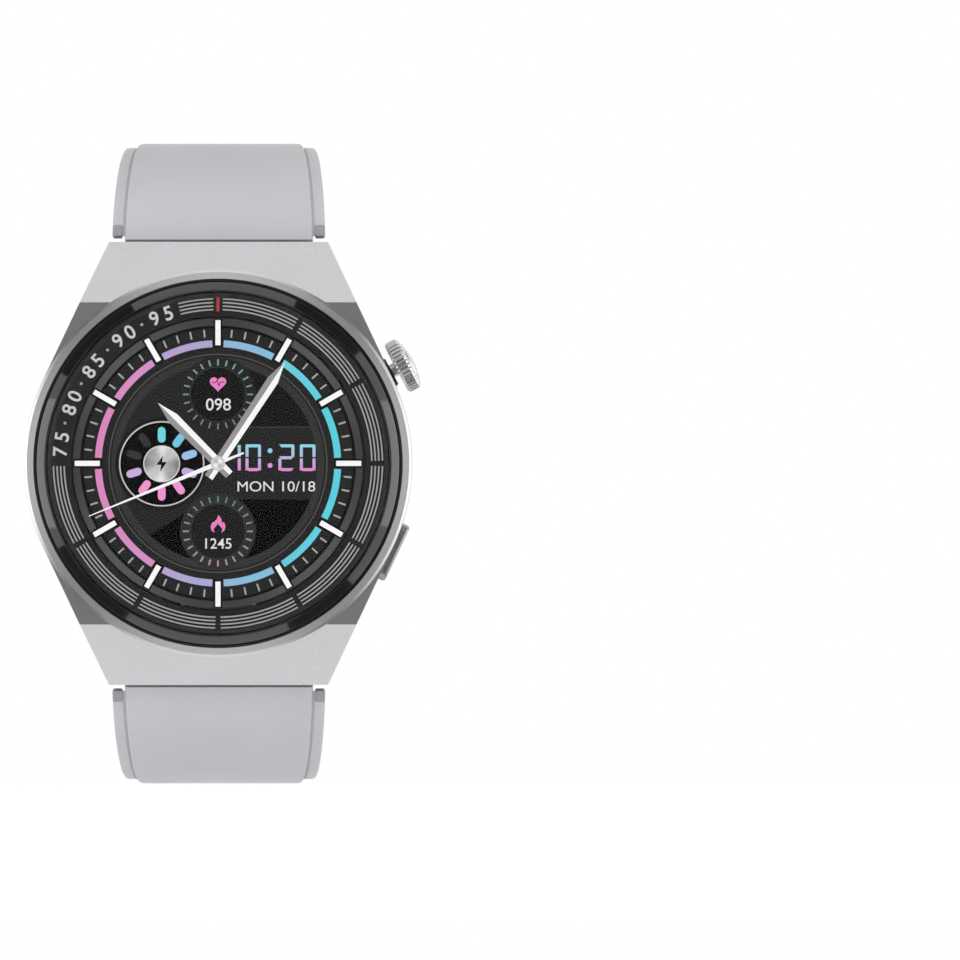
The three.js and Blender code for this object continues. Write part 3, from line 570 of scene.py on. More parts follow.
def tintedSurface(name, glow, roughness=0.45):
    surface = Surface(name).set(Roughness=roughness)
    color = surface.tree.nodes.new("ShaderNodeAttribute")
    color.attribute_name = "tint"
    grain = surface.group(surfaceGrain, Grain_Scale=5000.0, Patch_Scale=160.0)
    shade = surface.tree.nodes.new("ShaderNodeMix")
    shade.data_type, shade.blend_type = "RGBA", "MULTIPLY"
    shade.inputs["Factor"].default_value = 1.0
    linked(surface.tree, color.outputs["Color"], shade.inputs["A"])
    linked(surface.tree, surface.blendColors(grain.outputs["Patches"], grey(249), grey(255)),
           shade.inputs["B"])
    if glow:
        surface.set(Base_Color=(0.002, 0.002, 0.002, 1), Emission_Strength=glow, Specular_IOR_Level=0.0)
        return surface.feed("Emission Color", shade.outputs["Result"])
    surface.feed("Base Color", shade.outputs["Result"])
    return surface.bump(grain.outputs["Height"], 0.1, 0.00002)


def makeBezel(surface):
    f = front
    lip = f["bezelOuter"] + 0.24
    profile = [(f["ledgeInner"], f["bezelBase"]), (lip, f["bezelBase"]), (lip, 10.5),
               (f["bezelOuter"], 10.56),
               (f["bezelOuter"], 10.9),
               (f["bezelOuter"] - 0.12, 11.12), (20.62, 11.84), (20.5, f["bezelTop"]),
               (f["bezelInner"], f["bezelTop"] - 0.04), (f["bezelInner"], 9.95), (f["ledgeInner"], 9.95)]
    piece = makePiece("bezelRing", spunProfile(profile, f["steps"]), surface, "case",
                      ["bezel_ring"])
    addBevel(piece, 0.1, segments=4, angle=20)


def makeCrystal(surface):
    f = front
    radius, top = f["crystalRadius"], f["crystalTop"]
    profile = [(0, f["crystalBase"]), (radius - 0.7, f["crystalBase"]),
               (radius - 0.05, f["crystalBase"]), (radius, f["crystalBase"] + 0.05),
               (radius, top - 0.3), (radius - 0.09, top - 0.12), (radius - 0.3, top - 0.02),
               (radius - 0.45, top),
               (radius - 0.5, top), (0, top)]
    makePiece("crystalGlass", spunSolid(profile, f["steps"]), surface, "case", ["crystal"],
              sharpAngle=50)


def makeScaleRing(base, printed):
    f = front
    inner, outer, top = f["scaleInner"], f["scaleOuter"], f["scaleTop"]
    profile = [(inner, top - 0.85), (outer, top - 0.85), (outer, top), (inner + 0.62, top),
               (inner + 0.5, top - 0.06),
               (inner + 0.16, top - 0.06), (inner + 0.1, top + 0.02), (inner, top - 0.02)]
    piece = makePiece("scaleRing", spunProfile(profile, f["steps"]), base, "case",
                      ["scale_ring"])
    addBevel(piece, 0.03, segments=2)
    art = Artwork(0.02)
    level = top + 0.004
    sectors = [(-14, -1.7), (1.7, 29.05)] + [(30 * hour + 0.95, 30 * hour + 29.05)
                                             for hour in range(1, 9)]
    for radius in (18.23, 18.65, 19.07, 19.5):
        for start, stop in sectors:
            art.band(radius - 0.085, radius + 0.085, start, stop, level, scalePrint["line"])
    art.bar(0, 18.0, 19.68, 0.36, level, scalePrint["marker"])
    for clock, number in zip(scalePrint["clocks"], scalePrint["numbers"]):
        spread = scalePrint["pitch"]
        for index, digit in enumerate(number):
            turn = clock + spread * (index - (len(number) - 1) / 2)
            art.text(digit, scalePrint["height"], level, scalePrint["numeral"], center=polar(18.75, turn),
                     turn=turn, weight=0.016)
    for clock in scalePrint["dots"]:
        art.circle(0.17, level, scalePrint["line"], center=polar(18.75, clock), steps=16)
    art.finish("scalePrint", printed, "scale_print")


scalePrint = {
    "line": grey(190),
    "numeral": grey(236),
    "marker": srgb(206, 52, 44),
    "height": 1.7,
    "pitch": 5.3,
    "numbers": ["75", "80", "85", "90", "95"],
    "clocks": [277, 292.5, 308, 323.5, 339],
    "dots": [284.75, 300.25, 315.75, 331.25],
}

glossBlack = Surface("glossBezel").set(IOR=1.6, Coat_Weight=0.6, Coat_Roughness=0.03)
smudges = glossBlack.group(edgeWear).outputs["Smudge"]
glossBlack.feed("Base Color", glossBlack.blendColors(smudges, (0.006, 0.006, 0.007),
                                                     (0.010, 0.010, 0.011)))
glossBlack.feed("Roughness", glossBlack.ranged(smudges, 0.05, 0.1))
clearGlass = Surface("crystalGlass").set(Base_Color=(1, 1, 1, 1), Transmission_Weight=1.0, IOR=1.18)
clearGlass.feed("Roughness", clearGlass.ranged(clearGlass.group(edgeWear).outputs["Smudge"], 0.0, 0.012))
scaleBlack = polymerSurface("scaleRingBlack", grey(14), grey(24), 0.32, 0.45, grainScale=6000.0,
                            bump=0.12)
scaleBlack.set(Specular_IOR_Level=0.2)
makeBezel(glossBlack)
makeCrystal(clearGlass)
makeScaleRing(scaleBlack, tintedSurface("scaleInk", glow=0))
print("bezel, crystal and scale made")

# lit display: ground, minute track, coloured ring, small dials, read-outs and hands
face = {
    "ground": grey(35),
    "panelDark": grey(19),
    "panelBlack": grey(1),
    "ring": grey(51),
    "line": grey(84),
    "white": grey(250),
    "handShade": grey(150),
    "text": grey(226),
    "cyan": srgb(92, 208, 222),
    "sky": srgb(138, 190, 224),
    "lilac": srgb(178, 166, 212),
    "pink": srgb(219, 137, 190),
    "panelRadius": 11.75,
    "panelEdge": 4.3,
    "creases": [(-10.2, 5.75, -8.4, 4.75), (-7.6, 8.5, -4.7, 6.9), (-9.9, -5.6, -8.6, -5.0)],
    "hourTip": (-7.14, 7.18),
    "minuteTip": (7.95, 12.05),
    "secondTip": (-15.3, -6.25),
}
layer = 0.013
arcColors = ["sky", "cyan", "cyan", "cyan", "cyan", "sky", "lilac", "pink", "pink", "pink", "pink",
             "lilac"]


def mixTint(low, high, share):
    share = min(1, max(0, share))
    return tuple(a + (b - a) * share for a, b in zip(low, high))


def paintGround(art, level):
    art.circle(front["displayRadius"], level, face["ground"], steps=120)
    corner = lambda x, up: mixTint(grey(62), grey(84), 0.5 - 0.5 * math.cos(4 * math.atan2(x, up)))
    art.band(16.35, 17.2, 0, 360, level + layer, corner)
    art.band(15.98, 16.32, 0, 360, level + layer, grey(10))
    for minute in range(60):
        if minute % 5:
            art.bar(minute * 6, 15.0, 15.9, 0.2, level + layer, grey(168))
    art.band(12.86, 12.98, 0, 360, level + layer, face["line"])
    art.band(face["panelRadius"], 12.6, 0, 360, level + layer, face["ring"])


def paintPanels(art, level):
    radius, edge = face["panelRadius"], face["panelEdge"]
    reach = math.degrees(math.asin(edge / radius))
    upper = [polar(radius, clock) for clock in range(6, int(90 - reach), 4)]
    art.patch([(3.4, edge)] + upper + [polar(radius, 90 - reach)], level, face["panelDark"])
    lower = [polar(radius, clock) for clock in range(int(90 + reach) + 4, 224, 4)]
    art.patch([(-1.3, -edge), polar(radius, 90 + reach)] + lower + [(-8.1, -8.5)], level,
              face["panelBlack"])
    art.patch([(3.4, edge + 0.05), (3.4, edge - 0.07), (10.9, edge - 0.07), (10.9, edge + 0.05)],
              level + layer,
              grey(62))
    for x0, up0, x1, up1 in face["creases"]:
        art.patch([(x0, up0), (x0, up0 - 0.12), (x1, up1 - 0.12), (x1, up1)], level, grey(20))


def paintTrack(art, level):
    gap = math.degrees(0.67 / 14.2)
    for hour, name in enumerate(arcColors):
        following = arcColors[(hour + 1) % 12]
        before = arcColors[hour - 1]
        start, stop = 30 * hour + gap, 30 * (hour + 1) - gap

        def shade(x, up, own=face[name], late=face[following], early=face[before], first=start):
            share = ((math.degrees(math.atan2(x, up)) - first) % 360) / 30
            return mixTint(mixTint(own, early, 0.35), mixTint(own, late, 0.35), share)

        art.band(13.78, 14.6, start, stop, level, shade)
    for hour in range(12):
        art.bar(30 * hour, 13.75, 17.15, 1.06, level + layer, grey(10))
        art.bar(30 * hour, 14.0, 16.98, 0.62, level + 2 * layer, face["white"])


def paintTickDial(art, level, center, high, low, ground):
    art.circle(4.5, level, ground, center=center)
    for step in range(24):
        clock = 15 * step
        share = 0.5 - 0.5 * math.cos(math.radians(clock))
        art.bar(clock, 3.45, 4.15, 0.2, level + layer, mixTint(high, low, share), center=center)
    art.band(3.2, 3.34, 0, 360, level + layer, mixTint(ground, grey(58), 0.6), center=center)
    art.circle(3.2, level + layer, mixTint(ground, face["panelBlack"], 0.6), center=center)


def pillOutline(center, clock, inner, outer, width):
    x, up = polar(1, clock)
    half, steps = width / 2, 6
    local = []
    for middle, first in ((outer - half, 0), (inner + half, 180)):
        for step in range(steps + 1):
            turn = math.radians(first + 180 * step / steps)
            local.append((middle + half * math.sin(turn), half * math.cos(turn)))
    return [(center[0] + r * x + w * up, center[1] + r * up - w * x) for r, w in local]


def paintBatteryDial(art, level):
    center = (-6.67, -0.05)
    art.circle(5.5, level, grey(24), center=center)
    art.circle(5.0, level + layer, grey(3), center=center, steps=72)
    art.band(4.9, 5.06, 0, 360, level + 2 * layer, grey(200), center=center)
    pills = [(112, 214, 222), (118, 200, 224), (160, 196, 236), (196, 170, 222), (238, 152, 208),
             (240, 150, 206), (240, 152, 206), (200, 174, 226), (52, 52, 54), (50, 50, 52)]
    for step, color in enumerate(pills):
        art.patch(pillOutline(center, 36 * step, 2.5, 4.38, 0.92), level + 2 * layer, srgb(*color))

    def brushed(x, up):
        turn = math.atan2(x - center[0], up - center[1])
        near = math.hypot(x - center[0], up - center[1]) < 0.2
        return grey(190 if near else 176 + 52 * math.cos(2 * turn - 0.5) + 16 * math.cos(6 * turn))

    art.band(0.02, 2.14, 0, 360, level + 2 * layer, brushed, center=center, stepAngle=6)
    art.band(2.05, 2.18, 0, 360, level + 3 * layer, grey(214), center=center)
    bolt = [(0.16, 0.98), (-0.62, -0.12), (-0.06, -0.12), (-0.2, -0.98), (0.6, 0.2), (0.04, 0.2)]
    art.patch(shifted(bolt, center), level + 3 * layer, grey(8))


def paintHeart(art, level, center):
    heartScale, points = 0.0615, []
    for step in range(40):
        turn = 2 * math.pi * step / 40
        x = 16 * math.sin(turn) ** 3
        up = 13 * math.cos(turn) - 5 * math.cos(2 * turn) - 2 * math.cos(3 * turn) - math.cos(4 * turn)
        points.append((x * heartScale, up * heartScale))
    art.patch(shifted(points, center), level, srgb(228, 132, 196))
    pulse = [(-0.75, 0.1), (-0.3, 0.1), (-0.12, 0.42), (0.1, -0.32), (0.28, 0.16), (0.75, 0.16)]
    for (x0, up0), (x1, up1) in zip(pulse, pulse[1:]):
        length = math.hypot(x1 - x0, up1 - up0)
        nx, nu = 0.05 * (up1 - up0) / length, -0.05 * (x1 - x0) / length
        art.patch([(center[0] + x0 - nx, center[1] + up0 - nu),
                   (center[0] + x0 + nx, center[1] + up0 + nu),
                   (center[0] + x1 + nx, center[1] + up1 + nu),
                   (center[0] + x1 - nx, center[1] + up1 - nu)],
                  level + layer, srgb(120, 40, 92))


def paintFlame(art, level, center):
    flame = [(0.05, 1.05), (-0.16, 0.5), (-0.52, 0.18), (-0.66, 0.2), (-0.88, -0.35), (-0.78, -0.8),
             (-0.4, -1.06),
             (-0.52, -0.62), (-0.28, -0.34), (0, 0.0), (0.28, -0.34), (0.52, -0.62), (0.4, -1.06),
             (0.78, -0.8),
             (0.9, -0.3), (0.7, 0.24), (0.5, 0.05), (0.42, 0.5), (0.25, 0.8)]
    art.patch(shifted(flame, center), level, srgb(228, 128, 190))


def paintDigit(art, level, left, right, segments):
    low, high, stroke = -0.92, 2.26, 0.36
    middle, cutBack = (low + high) / 2, 0.09
    shade = lambda x, up: mixTint(srgb(222, 140, 208), srgb(140, 216, 228), (up - low) / (high - low))
    flat = {"a": high, "g": middle + stroke / 2, "d": low + stroke}
    upright = {"f": (left, middle, high), "b": (right - stroke, middle, high),
               "e": (left, low, middle), "c": (right - stroke, low, middle)}
    for name in segments:
        if name in flat:
            top = flat[name]
            art.patch([(left + cutBack, top), (left + stroke, top - stroke),
                       (right - stroke, top - stroke),
                       (right - cutBack, top)], level, shade)
        else:
            x, bottom, top = upright[name]
            art.patch([(x, bottom + cutBack), (x, top - cutBack), (x + stroke, top - cutBack),
                       (x + stroke, bottom + cutBack)], level, shade)


def paintReadout(art, level):
    paintDigit(art, level, 2.3, 2.7, "bc")
    paintDigit(art, level, 3.26, 5.1, "abcdef")
    for up, color in ((1.5, srgb(150, 206, 226)), (-0.24, srgb(222, 150, 212))):
        art.circle(0.29, level, color, center=(6.17, up), steps=24)
    paintDigit(art, level, 7.16, 9.06, "abged")
    paintDigit(art, level, 9.7, 11.56, "abcdef")
    art.text("MON 10/18", 1.2, level, face["text"], width=9.2, center=(6.92, -2.73))
    art.text("098", 1.44, level, face["text"], width=2.95, center=(0.05, 6.98), weight=0.006)
    art.text("1245", 1.24, level, face["text"], width=3.1, center=(0.05, -9.5), weight=0.004)


def paintHand(art, level, tip, width, tail, lightSide):
    length = math.hypot(*tip)
    ax, au = tip[0] / length, tip[1] / length
    def place(along, across):
        return (along * ax + across * au, along * au - across * ax)
    for side in (-1, 1):
        tint = face["white"] if side == lightSide else face["handShade"]
        half = side * width / 2
        art.patch([place(-tail, 0), place(0.6, 0), place(length, 0), place(length - 1.9 * width, half),
                   place(0.6, half * 0.86), place(-tail, half * 0.8)], level, tint)


def paintHands(art, level):
    paintHand(art, level, face["hourTip"], 1.36, 1.9, 1)
    paintHand(art, level + layer, face["minuteTip"], 1.36, 2.0, 1)
    length = math.hypot(*face["secondTip"])
    ax, au = (part / length for part in face["secondTip"])
    outline = [(length, 0.05), (1.0, 0.26), (-3.3, 0.1), (-3.3, -0.1), (1.0, -0.26), (length, -0.05)]
    art.patch([(r * ax + w * au, r * au - w * ax) for r, w in outline], level + 2 * layer, face["white"])
    art.circle(0.86, level + 3 * layer, grey(206), steps=36)
    art.band(0.02, 0.6, 0, 360, level + 4 * layer, lambda x,
             up: grey(214 + 30 * math.sin(2 * math.atan2(x, up))), stepAngle=12)


def makeDisplay(panel, lit):
    f = front
    radius, top = f["displayRadius"], f["displayTop"]
    piece = makePiece("displayPanel", plug(radius, f["displayBase"], top, 128), panel, "case",
                      ["display_panel"])
    addBevel(piece, 0.03, segments=2)
    ground, marks, readout, hands = (Artwork() for _ in range(4))
    level = top + 0.004
    paintGround(ground, level)
    paintPanels(ground, level + 2 * layer)
    paintTrack(marks, level + 2 * layer)
    paintTickDial(readout, level + 4 * layer, (0, 8.17), srgb(120, 158, 160), grey(120), face["ground"])
    paintTickDial(readout, level + 4 * layer, (0, -8.05), srgb(100, 128, 130), srgb(176, 150, 168),
                  grey(46))
    paintBatteryDial(readout, level + 4 * layer)
    paintHeart(readout, level + 6 * layer, (0, 9.47))
    paintFlame(readout, level + 6 * layer, (0, -7.15))
    paintReadout(readout, level + 6 * layer)
    paintHands(hands, level + 8 * layer)
    for name, art in (("displayGround", ground), ("displayMarks", marks), ("displayReadout", readout),
                      ("displayHands", hands)):
        art.finish(name, lit, "display")


panelBlack = polymerSurface("displayPanelBlack", grey(10), grey(18), 0.16, 0.24, bump=0.05)
makeDisplay(panelBlack, tintedSurface("litDisplay", glow=1.0, roughness=0.6))
print("display made")

# crown: fluted rim, soft dome with turned rings, neck tube in its dark pocket
crown = {
    "radius": 3.25,
    "innerFace": 23.9,
    "rimDepth": 1.7,
    "dome": 0.6,
    "flutes": 36,
    "fluteDepth": 0.17,
    "tubeRadius": 1.8,
}


def makeCrown(surface, dark):
    c = crown
    rimTop = c["innerFace"] + c["rimDepth"]
    profile = [(0.86, c["innerFace"]), (c["radius"] - 0.3, c["innerFace"]),
               (c["radius"], c["innerFace"] + 0.3),
               (c["radius"], rimTop - 0.28), (c["radius"] - 0.3, rimTop), (2.55, rimTop + 0.16),
               (2.42, rimTop + 0.1),
               (2.3, rimTop + 0.26), (1.2, rimTop + 0.5), (0, rimTop + c["dome"]), (0, rimTop - 0.9),
               (0.86, rimTop - 0.9)]
    bm = spunProfile(profile, c["flutes"] * 6)
    middle = [vert for vert in bm.verts if math.hypot(vert.co.x, vert.co.z) > (c["radius"] - 0.02) * mm]
    for vert in middle:
        turn = math.atan2(vert.co.x, vert.co.z) * c["flutes"]
        dip = max(0.0, math.cos(turn)) ** 0.7
        factor = 1 - c["fluteDepth"] * dip / c["radius"]
        vert.co.x, vert.co.z = vert.co.x * factor, vert.co.z * factor
    bm = turnToSide(bm, crownClock, case["sideHeight"])
    piece = makePiece("crownKnob", bm, surface, "crown", ["crown_knob"], sharpAngle=28)
    addBevel(piece, 0.05, segments=2, angle=35)
    tube = spunProfile([(1.25, 19.0), (c["tubeRadius"], 19.0), (c["tubeRadius"], 23.1),
                        (c["tubeRadius"] - 0.15, 23.3),
                        (1.25, 23.3)], 48)
    makePiece("crownTube", turnToSide(tube, crownClock, case["sideHeight"]), dark, "case",
              ["crown_tube"])


def makeButton(surface):
    outline = roundedOutline(2.6, 7.2, 1.0, steps=8, up=case["buttonShift"])
    cap = prism(outline, 22.01, 23.76)
    top = max(cap.faces, key=lambda item: -item.calc_center_median().y)
    bmesh.ops.inset_individual(cap, faces=[top], thickness=0.28 * mm, depth=0)
    bmesh.ops.translate(cap, vec=dial(0, 0, 0.05), verts=top.verts)
    piece = makePiece("buttonCap", turnToSide(cap, buttonClock, case["sideHeight"]), surface, "button",
                      ["button_cap"])
    addBevel(piece, 0.3, segments=4)


crownMetal = metalSurface("flutedCrownMetal", (0.60, 0.60, 0.62), (0.70, 0.70, 0.72), 0.16, 0.26,
                          stretch=(4000, 9000, 4000))
buttonMetal = metalSurface("buttonMetal", (0.34, 0.34, 0.35), (0.42, 0.42, 0.43), 0.28, 0.38,
                           stretch=(3000, 12000, 1500))
darkPlastic = polymerSurface("darkInnerPlastic", grey(22), grey(32), 0.4, 0.55)
makeCrown(crownMetal, darkPlastic)
makeButton(buttonMetal)
print("crown and button made")

# strap: two moulded silicone halves, each a raised band with a lower flange on both edges
strap = {
    "lugEnd": 26.3,
    "startHeight": 5.6,
    "barPlace": (24.2, 3.9),
    "rootRadius": 2.1,
    "firstRadius": 16.2,
    "startAngle": 75,
    "upperRadius": 28.0,
    "upperStraight": 18.0,
    "lowerRun": 12.0,
    "lowerRadius": 40.0,
    "lowerTail": 17.0,
    "rootThickness": 3.2,
    "tipThickness": 2.4,
    "bandHalf": (11.15, 9.6, 9.0),
    "edgeHalf": (12.7, 11.25, 10.2),
    "flangeDrop": 0.5,
    "flangeStart": 0.75,
    "rootHalf": 11.12,
    "barHole": 0.85,
    "leverWindow": (5.3, 8.1, 0.55),
    "tabSize": (1.15, 1.4, 0.2),
    "tabPlace": 12.02,
    "tabOffset": 0.85,
    "tabDepth": (-1.3, -0.3),
    "holeSize": (3.4, 2.0, 0.98),
    "tailToHole": 12,
    "groove": 0.22,
    "tipFlange": 1.25,
    "holes": 7,
    "holePitch": 6.5,
    "stepLength": 1.1,
}


class StrapPath:
    def __init__(self, runs):
        s = strap
        turn = math.radians(s["startAngle"])
        self.level = s["startHeight"] - s["firstRadius"] * math.sin(turn)
        self.runs = [("arc", s["firstRadius"], s["startAngle"])] + runs
        self.start = (s["lugEnd"], s["startHeight"], s["startAngle"] - 90.0)
        self.length = sum(math.radians(size) * radius if kind == "arc" else radius for kind, radius,
                          size in self.runs)
        self.tipLevel = self.at(self.length)[0][1]

    def at(self, distance):
        y, z, heading = self.start
        for kind, radius, size in self.runs:
            span = math.radians(size) * radius if kind == "arc" else radius
            part = min(max(distance, 0), span)
            turn = math.radians(heading)
            if kind == "arc":
                sweep = part / radius
                y += radius * (math.sin(sweep) * math.cos(turn) + (1 - math.cos(sweep)) * math.sin(turn))
                z += radius * (math.sin(sweep) * math.sin(turn) - (1 - math.cos(sweep)) * math.cos(turn))
                heading -= math.degrees(sweep)
            else:
                y, z = y + part * math.cos(turn), z + part * math.sin(turn)
            distance -= part
            if distance <= 0:
                break
        turn = math.radians(heading)
        return (y, z), (-math.sin(turn), math.cos(turn))


# the width changes evenly with height, from the lug to the end of the first bend and from there to the tip
def halfWidthAt(sizes, height, path):
    lug, side, tip = sizes
    if height > path.level:
        return side + (lug - side) * (height - path.level) / (strap["startHeight"] - path.level)
    return side + (tip - side) * (path.level - height) / (path.level - path.tipLevel)


# cross-section of the strap at one station: half widths, flange, groove and rounded corners
def sectionPoints(band, edge, thickness, drop, groove):
    raised = [(0, 0), (band * 0.55, 0.0), (band - 0.45, 0.0), (band - 0.16, -0.05), (band - 0.03, -0.17),
              (band, -0.32), (band + 0.02, -drop - groove * 0.6), (band + 0.12, -drop - groove),
              (band + 0.26, -drop - groove * 0.6), (band + 0.34, -drop)]
    outer = [(edge - 0.42, -drop), (edge - 0.14, -drop - 0.07), (edge, -drop - 0.3)]
    low = [(edge, -thickness + 0.45), (edge - 0.14, -thickness + 0.14), (edge - 0.5, -thickness),
           (band * 0.55, -thickness), (0, -thickness)]
    return raised + outer + low


# the band is lofted station by station; mirrored halves share the middle line
def strapBand(path, upperHalf):
    s = strap
    stations = [s["stepLength"] * step for step in range(int((path.length - 0.4) / s["stepLength"]))]
    loops = []
    bm = bmesh.new()
    tipRadius = s["edgeHalf"][2] if not upperHalf else 0
    if tipRadius:
        stations = [station for station in stations if station < path.length - tipRadius]
        stations += [path.length - tipRadius + tipRadius * math.sin(math.radians(turn)) for turn in
                     (0, 8, 16, 24, 32, 40, 48, 56, 63, 70, 76, 81, 85, 88)]
    else:
        stations.append(path.length)
    for station in stations:
        (y, z), normal = path.at(station)
        share = min(1, station / path.length * 2.5)
        thickness = s["rootThickness"] + (s["tipThickness"] - s["rootThickness"]) * share
        band = halfWidthAt(s["bandHalf"], z, path)
        edge = halfWidthAt(s["edgeHalf"], z, path)
        if tipRadius and station > path.length - tipRadius:
            curve = math.sqrt(max(0.0, 1 - ((station - path.length + tipRadius) / tipRadius) ** 2))
            edge = edge * max(0.03, curve)
            band = min(band, edge - (s["edgeHalf"][2] - s["bandHalf"][2]))
        shrink = min(1, edge / s["tipFlange"] / 2)
        edge, band = edge / shrink, max(band, s["tipFlange"] * 0.8)
        points = sectionPoints(band, edge, thickness, s["flangeDrop"], s["groove"])
        if tipRadius and station > path.length - s["tipFlange"]:
            points = [(x, min(depth, -s["flangeDrop"])) for x, depth in points]
        points = [(x * shrink, depth) for x, depth in points]
        points += [(-x, depth) for x, depth in points[-2:0:-1]]
        ring = [bm.verts.new(dial(x, y + depth * normal[0], z + depth * normal[1])) for x,
                depth in points]
        loops.append([bm.edges.new(pair) for pair in zip(ring, ring[1:] + ring[:1])])
    for first, second in zip(loops, loops[1:]):
        bmesh.ops.bridge_loops(bm, edges=first + second)
    bmesh.ops.holes_fill(bm, edges=loops[0] + loops[-1])
    if not upperHalf:
        bmesh.ops.scale(bm, vec=(1, 1, -1), verts=bm.verts)
    bmesh.ops.recalc_face_normals(bm, faces=bm.faces)
    return bm


def alongX(up, out, x):
    return dial(x, up, out)


def alongUp(x, out, up):
    return dial(x, up, out)


def roundRod(radius, low, high, up, out, steps=40):
    outline = [(up + radius * math.cos(2 * math.pi * step / steps),
                out + radius * math.sin(2 * math.pi * step / steps))
               for step in range(steps)]
    return sweptOutline(outline, low, high, alongX)


# sets a small shape on the strap at a distance along it, mirrored for the lower half
def seatOnStrap(bm, path, distance, sign):
    (y, z), normal = path.at(distance)
    turn = Matrix.Rotation(-math.atan2(normal[0], normal[1]), 4, "X")
    bmesh.ops.transform(bm, matrix=turn, verts=bm.verts)
    bmesh.ops.translate(bm, vec=dial(0, y, z), verts=bm.verts)
    bmesh.ops.scale(bm, vec=(1, 1, sign), verts=bm.verts)
    bmesh.ops.recalc_face_normals(bm, faces=bm.faces)
    return bm


# the round root that wraps the spring bar and runs out into the band
def strapRoot(path, sign):
    s = strap
    (y, z), normal = path.at(0.5)
    outline = [(s["barPlace"][0] + s["rootRadius"] * math.cos(math.radians(turn)),
                s["barPlace"][1] + s["rootRadius"] * math.sin(math.radians(turn)))
               for turn in range(72, 300, 6)]
    outline += [(y - 3.15 * normal[0], z - 3.15 * normal[1]),
                (y - 0.05 * normal[0], z - 0.05 * normal[1])]
    return sweptOutline([(sign * up, out) for up, out in outline], -s["rootHalf"], s["rootHalf"], alongX)


def finishStrap(name, bm, path, sign, surface, body, node, extraUnion, extraCuts):
    s = strap
    piece = makePiece(name, bm, surface, body, [node])
    cutWith(piece, [looseTool(strapRoot(path, sign))] + [looseTool(tool) for tool in extraUnion], "UNION")
    bar = sign * s["barPlace"][0]
    near, far = sorted((sign * 20.0, sign * (s["lugEnd"] + s["flangeStart"])))
    windowStart, windowEnd, windowHalf = s["leverWindow"]
    tools = [roundRod(s["barHole"], -14, 14, bar, s["barPlace"][1], 24),
             dialBox(windowStart, windowEnd, bar - windowHalf, bar + windowHalf, 0, s["barPlace"][1]),
             dialBox(11.16, 14, near, far, -3, 8), dialBox(-14, -11.16, near, far, -3, 8)]
    tools.append(dialBox(-12.8, 12.8, *sorted((sign * 26.0, sign * 26.6)), 4.2, 8))
    cutWith(piece, [looseTool(tool) for tool in tools + extraCuts])
    piece.data.shade_smooth()
    piece.data.set_sharp_from_angle(angle=math.radians(40))
    addBevel(piece, 0.09, segments=2, angle=40)
    for side in (1, -1):
        # small raised tabs on each flange by the case, coloured a darker grey than the rest of the strap
        tab = prism(roundedOutline(*s["tabSize"], 4, side * s["tabPlace"], 0), *s["tabDepth"])
        tab = seatOnStrap(tab, path, s["flangeStart"] + s["tabOffset"], sign)
        ear = makePiece(f"{name}Tab{'Right' if side > 0 else 'Left'}", tab, darkerTabSurface, body)
        addBevel(ear, 0.12, segments=3)


def makeStraps(surface):
    s, b = strap, buckle
    eyeUp, eyeOut = b["pinPlace"]
    upperPath = StrapPath([("arc", s["upperRadius"], 90), ("line", s["upperStraight"], 0)])
    eye = roundRod(b["eyeRadius"], -s["bandHalf"][2], s["bandHalf"][2], eyeUp, eyeOut)
    cuts = [roundRod(s["barHole"], -14, 14, eyeUp, eyeOut, 24),
            dialBox(-1.5, 1.5, eyeUp - 3, eyeUp + 2.3, eyeOut - 4, eyeOut + 4)]
    for x0, x1 in ((s["bandHalf"][2], 14), (-14, -s["bandHalf"][2])):
        cuts.append(dialBox(x0, x1, eyeUp - 3, eyeUp + 3.1, eyeOut - 4, eyeOut + 4))
    finishStrap("strapUpper", strapBand(upperPath, True), upperPath, 1, surface, "strap_12",
                "strap_upper", [eye], cuts)
    lowerPath = StrapPath([("line", s["lowerRun"], 0), ("arc", s["lowerRadius"], 90),
                           ("line", s["lowerTail"], 0)])
    holes = []
    for index in range(s["holes"]):
        distance = lowerPath.length - s["tailToHole"] - index * s["holePitch"]
        peg = prism(roundedOutline(*s["holeSize"]), -4, 1)
        holes.append(seatOnStrap(peg, lowerPath, distance, -1))
    finishStrap("strapLower", strapBand(lowerPath, False), lowerPath, -1, surface, "strap_6",
                "strap_lower", [], holes)
    k = keepers
    outerLoop = roundedOutline(k["inside"] + 2 * k["wall"], k["top"] - k["low"], 1.6, 8, 0,
                               (k["top"] + k["low"]) / 2)
    innerLoop = roundedOutline(k["inside"], k["top"] - k["low"] - 2 * k["wall"], 0.5, 4, 0,
                               (k["top"] + k["low"]) / 2)
    for name, body, node, up in (("fixedKeeper", "strap_12", "fixed_keeper", k["fixedUp"]),
                                 ("freeKeeper", "keeper", "free_keeper", k["freeUp"])):
        loop = makePiece(name, sweptOutline(outerLoop, up, up + k["width"], alongUp), surface, body,
                         [node])
        cutWith(loop, [looseTool(sweptOutline(innerLoop, up - 1, up + k["width"] + 1, alongUp))])
        addBevel(loop, 0.32, segments=4, angle=40)


keepers = {
    "inside": 20.9,
    "wall": 1.3,
    "low": -42.25,
    "top": -34.10,
    "width": 4.5,
    "fixedUp": -4.39,
    "freeUp": 0.71,
}

# pin buckle: U frame on a cross bar, tongue resting on the far cross-piece
buckle = {
    "pinPlace": (-7.893, -36.848),
    "eyeRadius": 1.9,
    "outer": 12.1,
    "inner": 9.5,
    "near": -6.29,
    "far": -21.69,
    "low": -38.05,
    "high": -35.65,
    "corner": 3.2,
    "pinRadius": 0.75,
    "tongueHalf": 1.1,
}


def arcPoints(x, up, radius, start, stop, steps=8):
    return [(x + radius * math.cos(math.radians(start + (stop - start) * step / steps)),
             up + radius * math.sin(math.radians(start + (stop - start) * step / steps)))
            for step in range(steps + 1)]


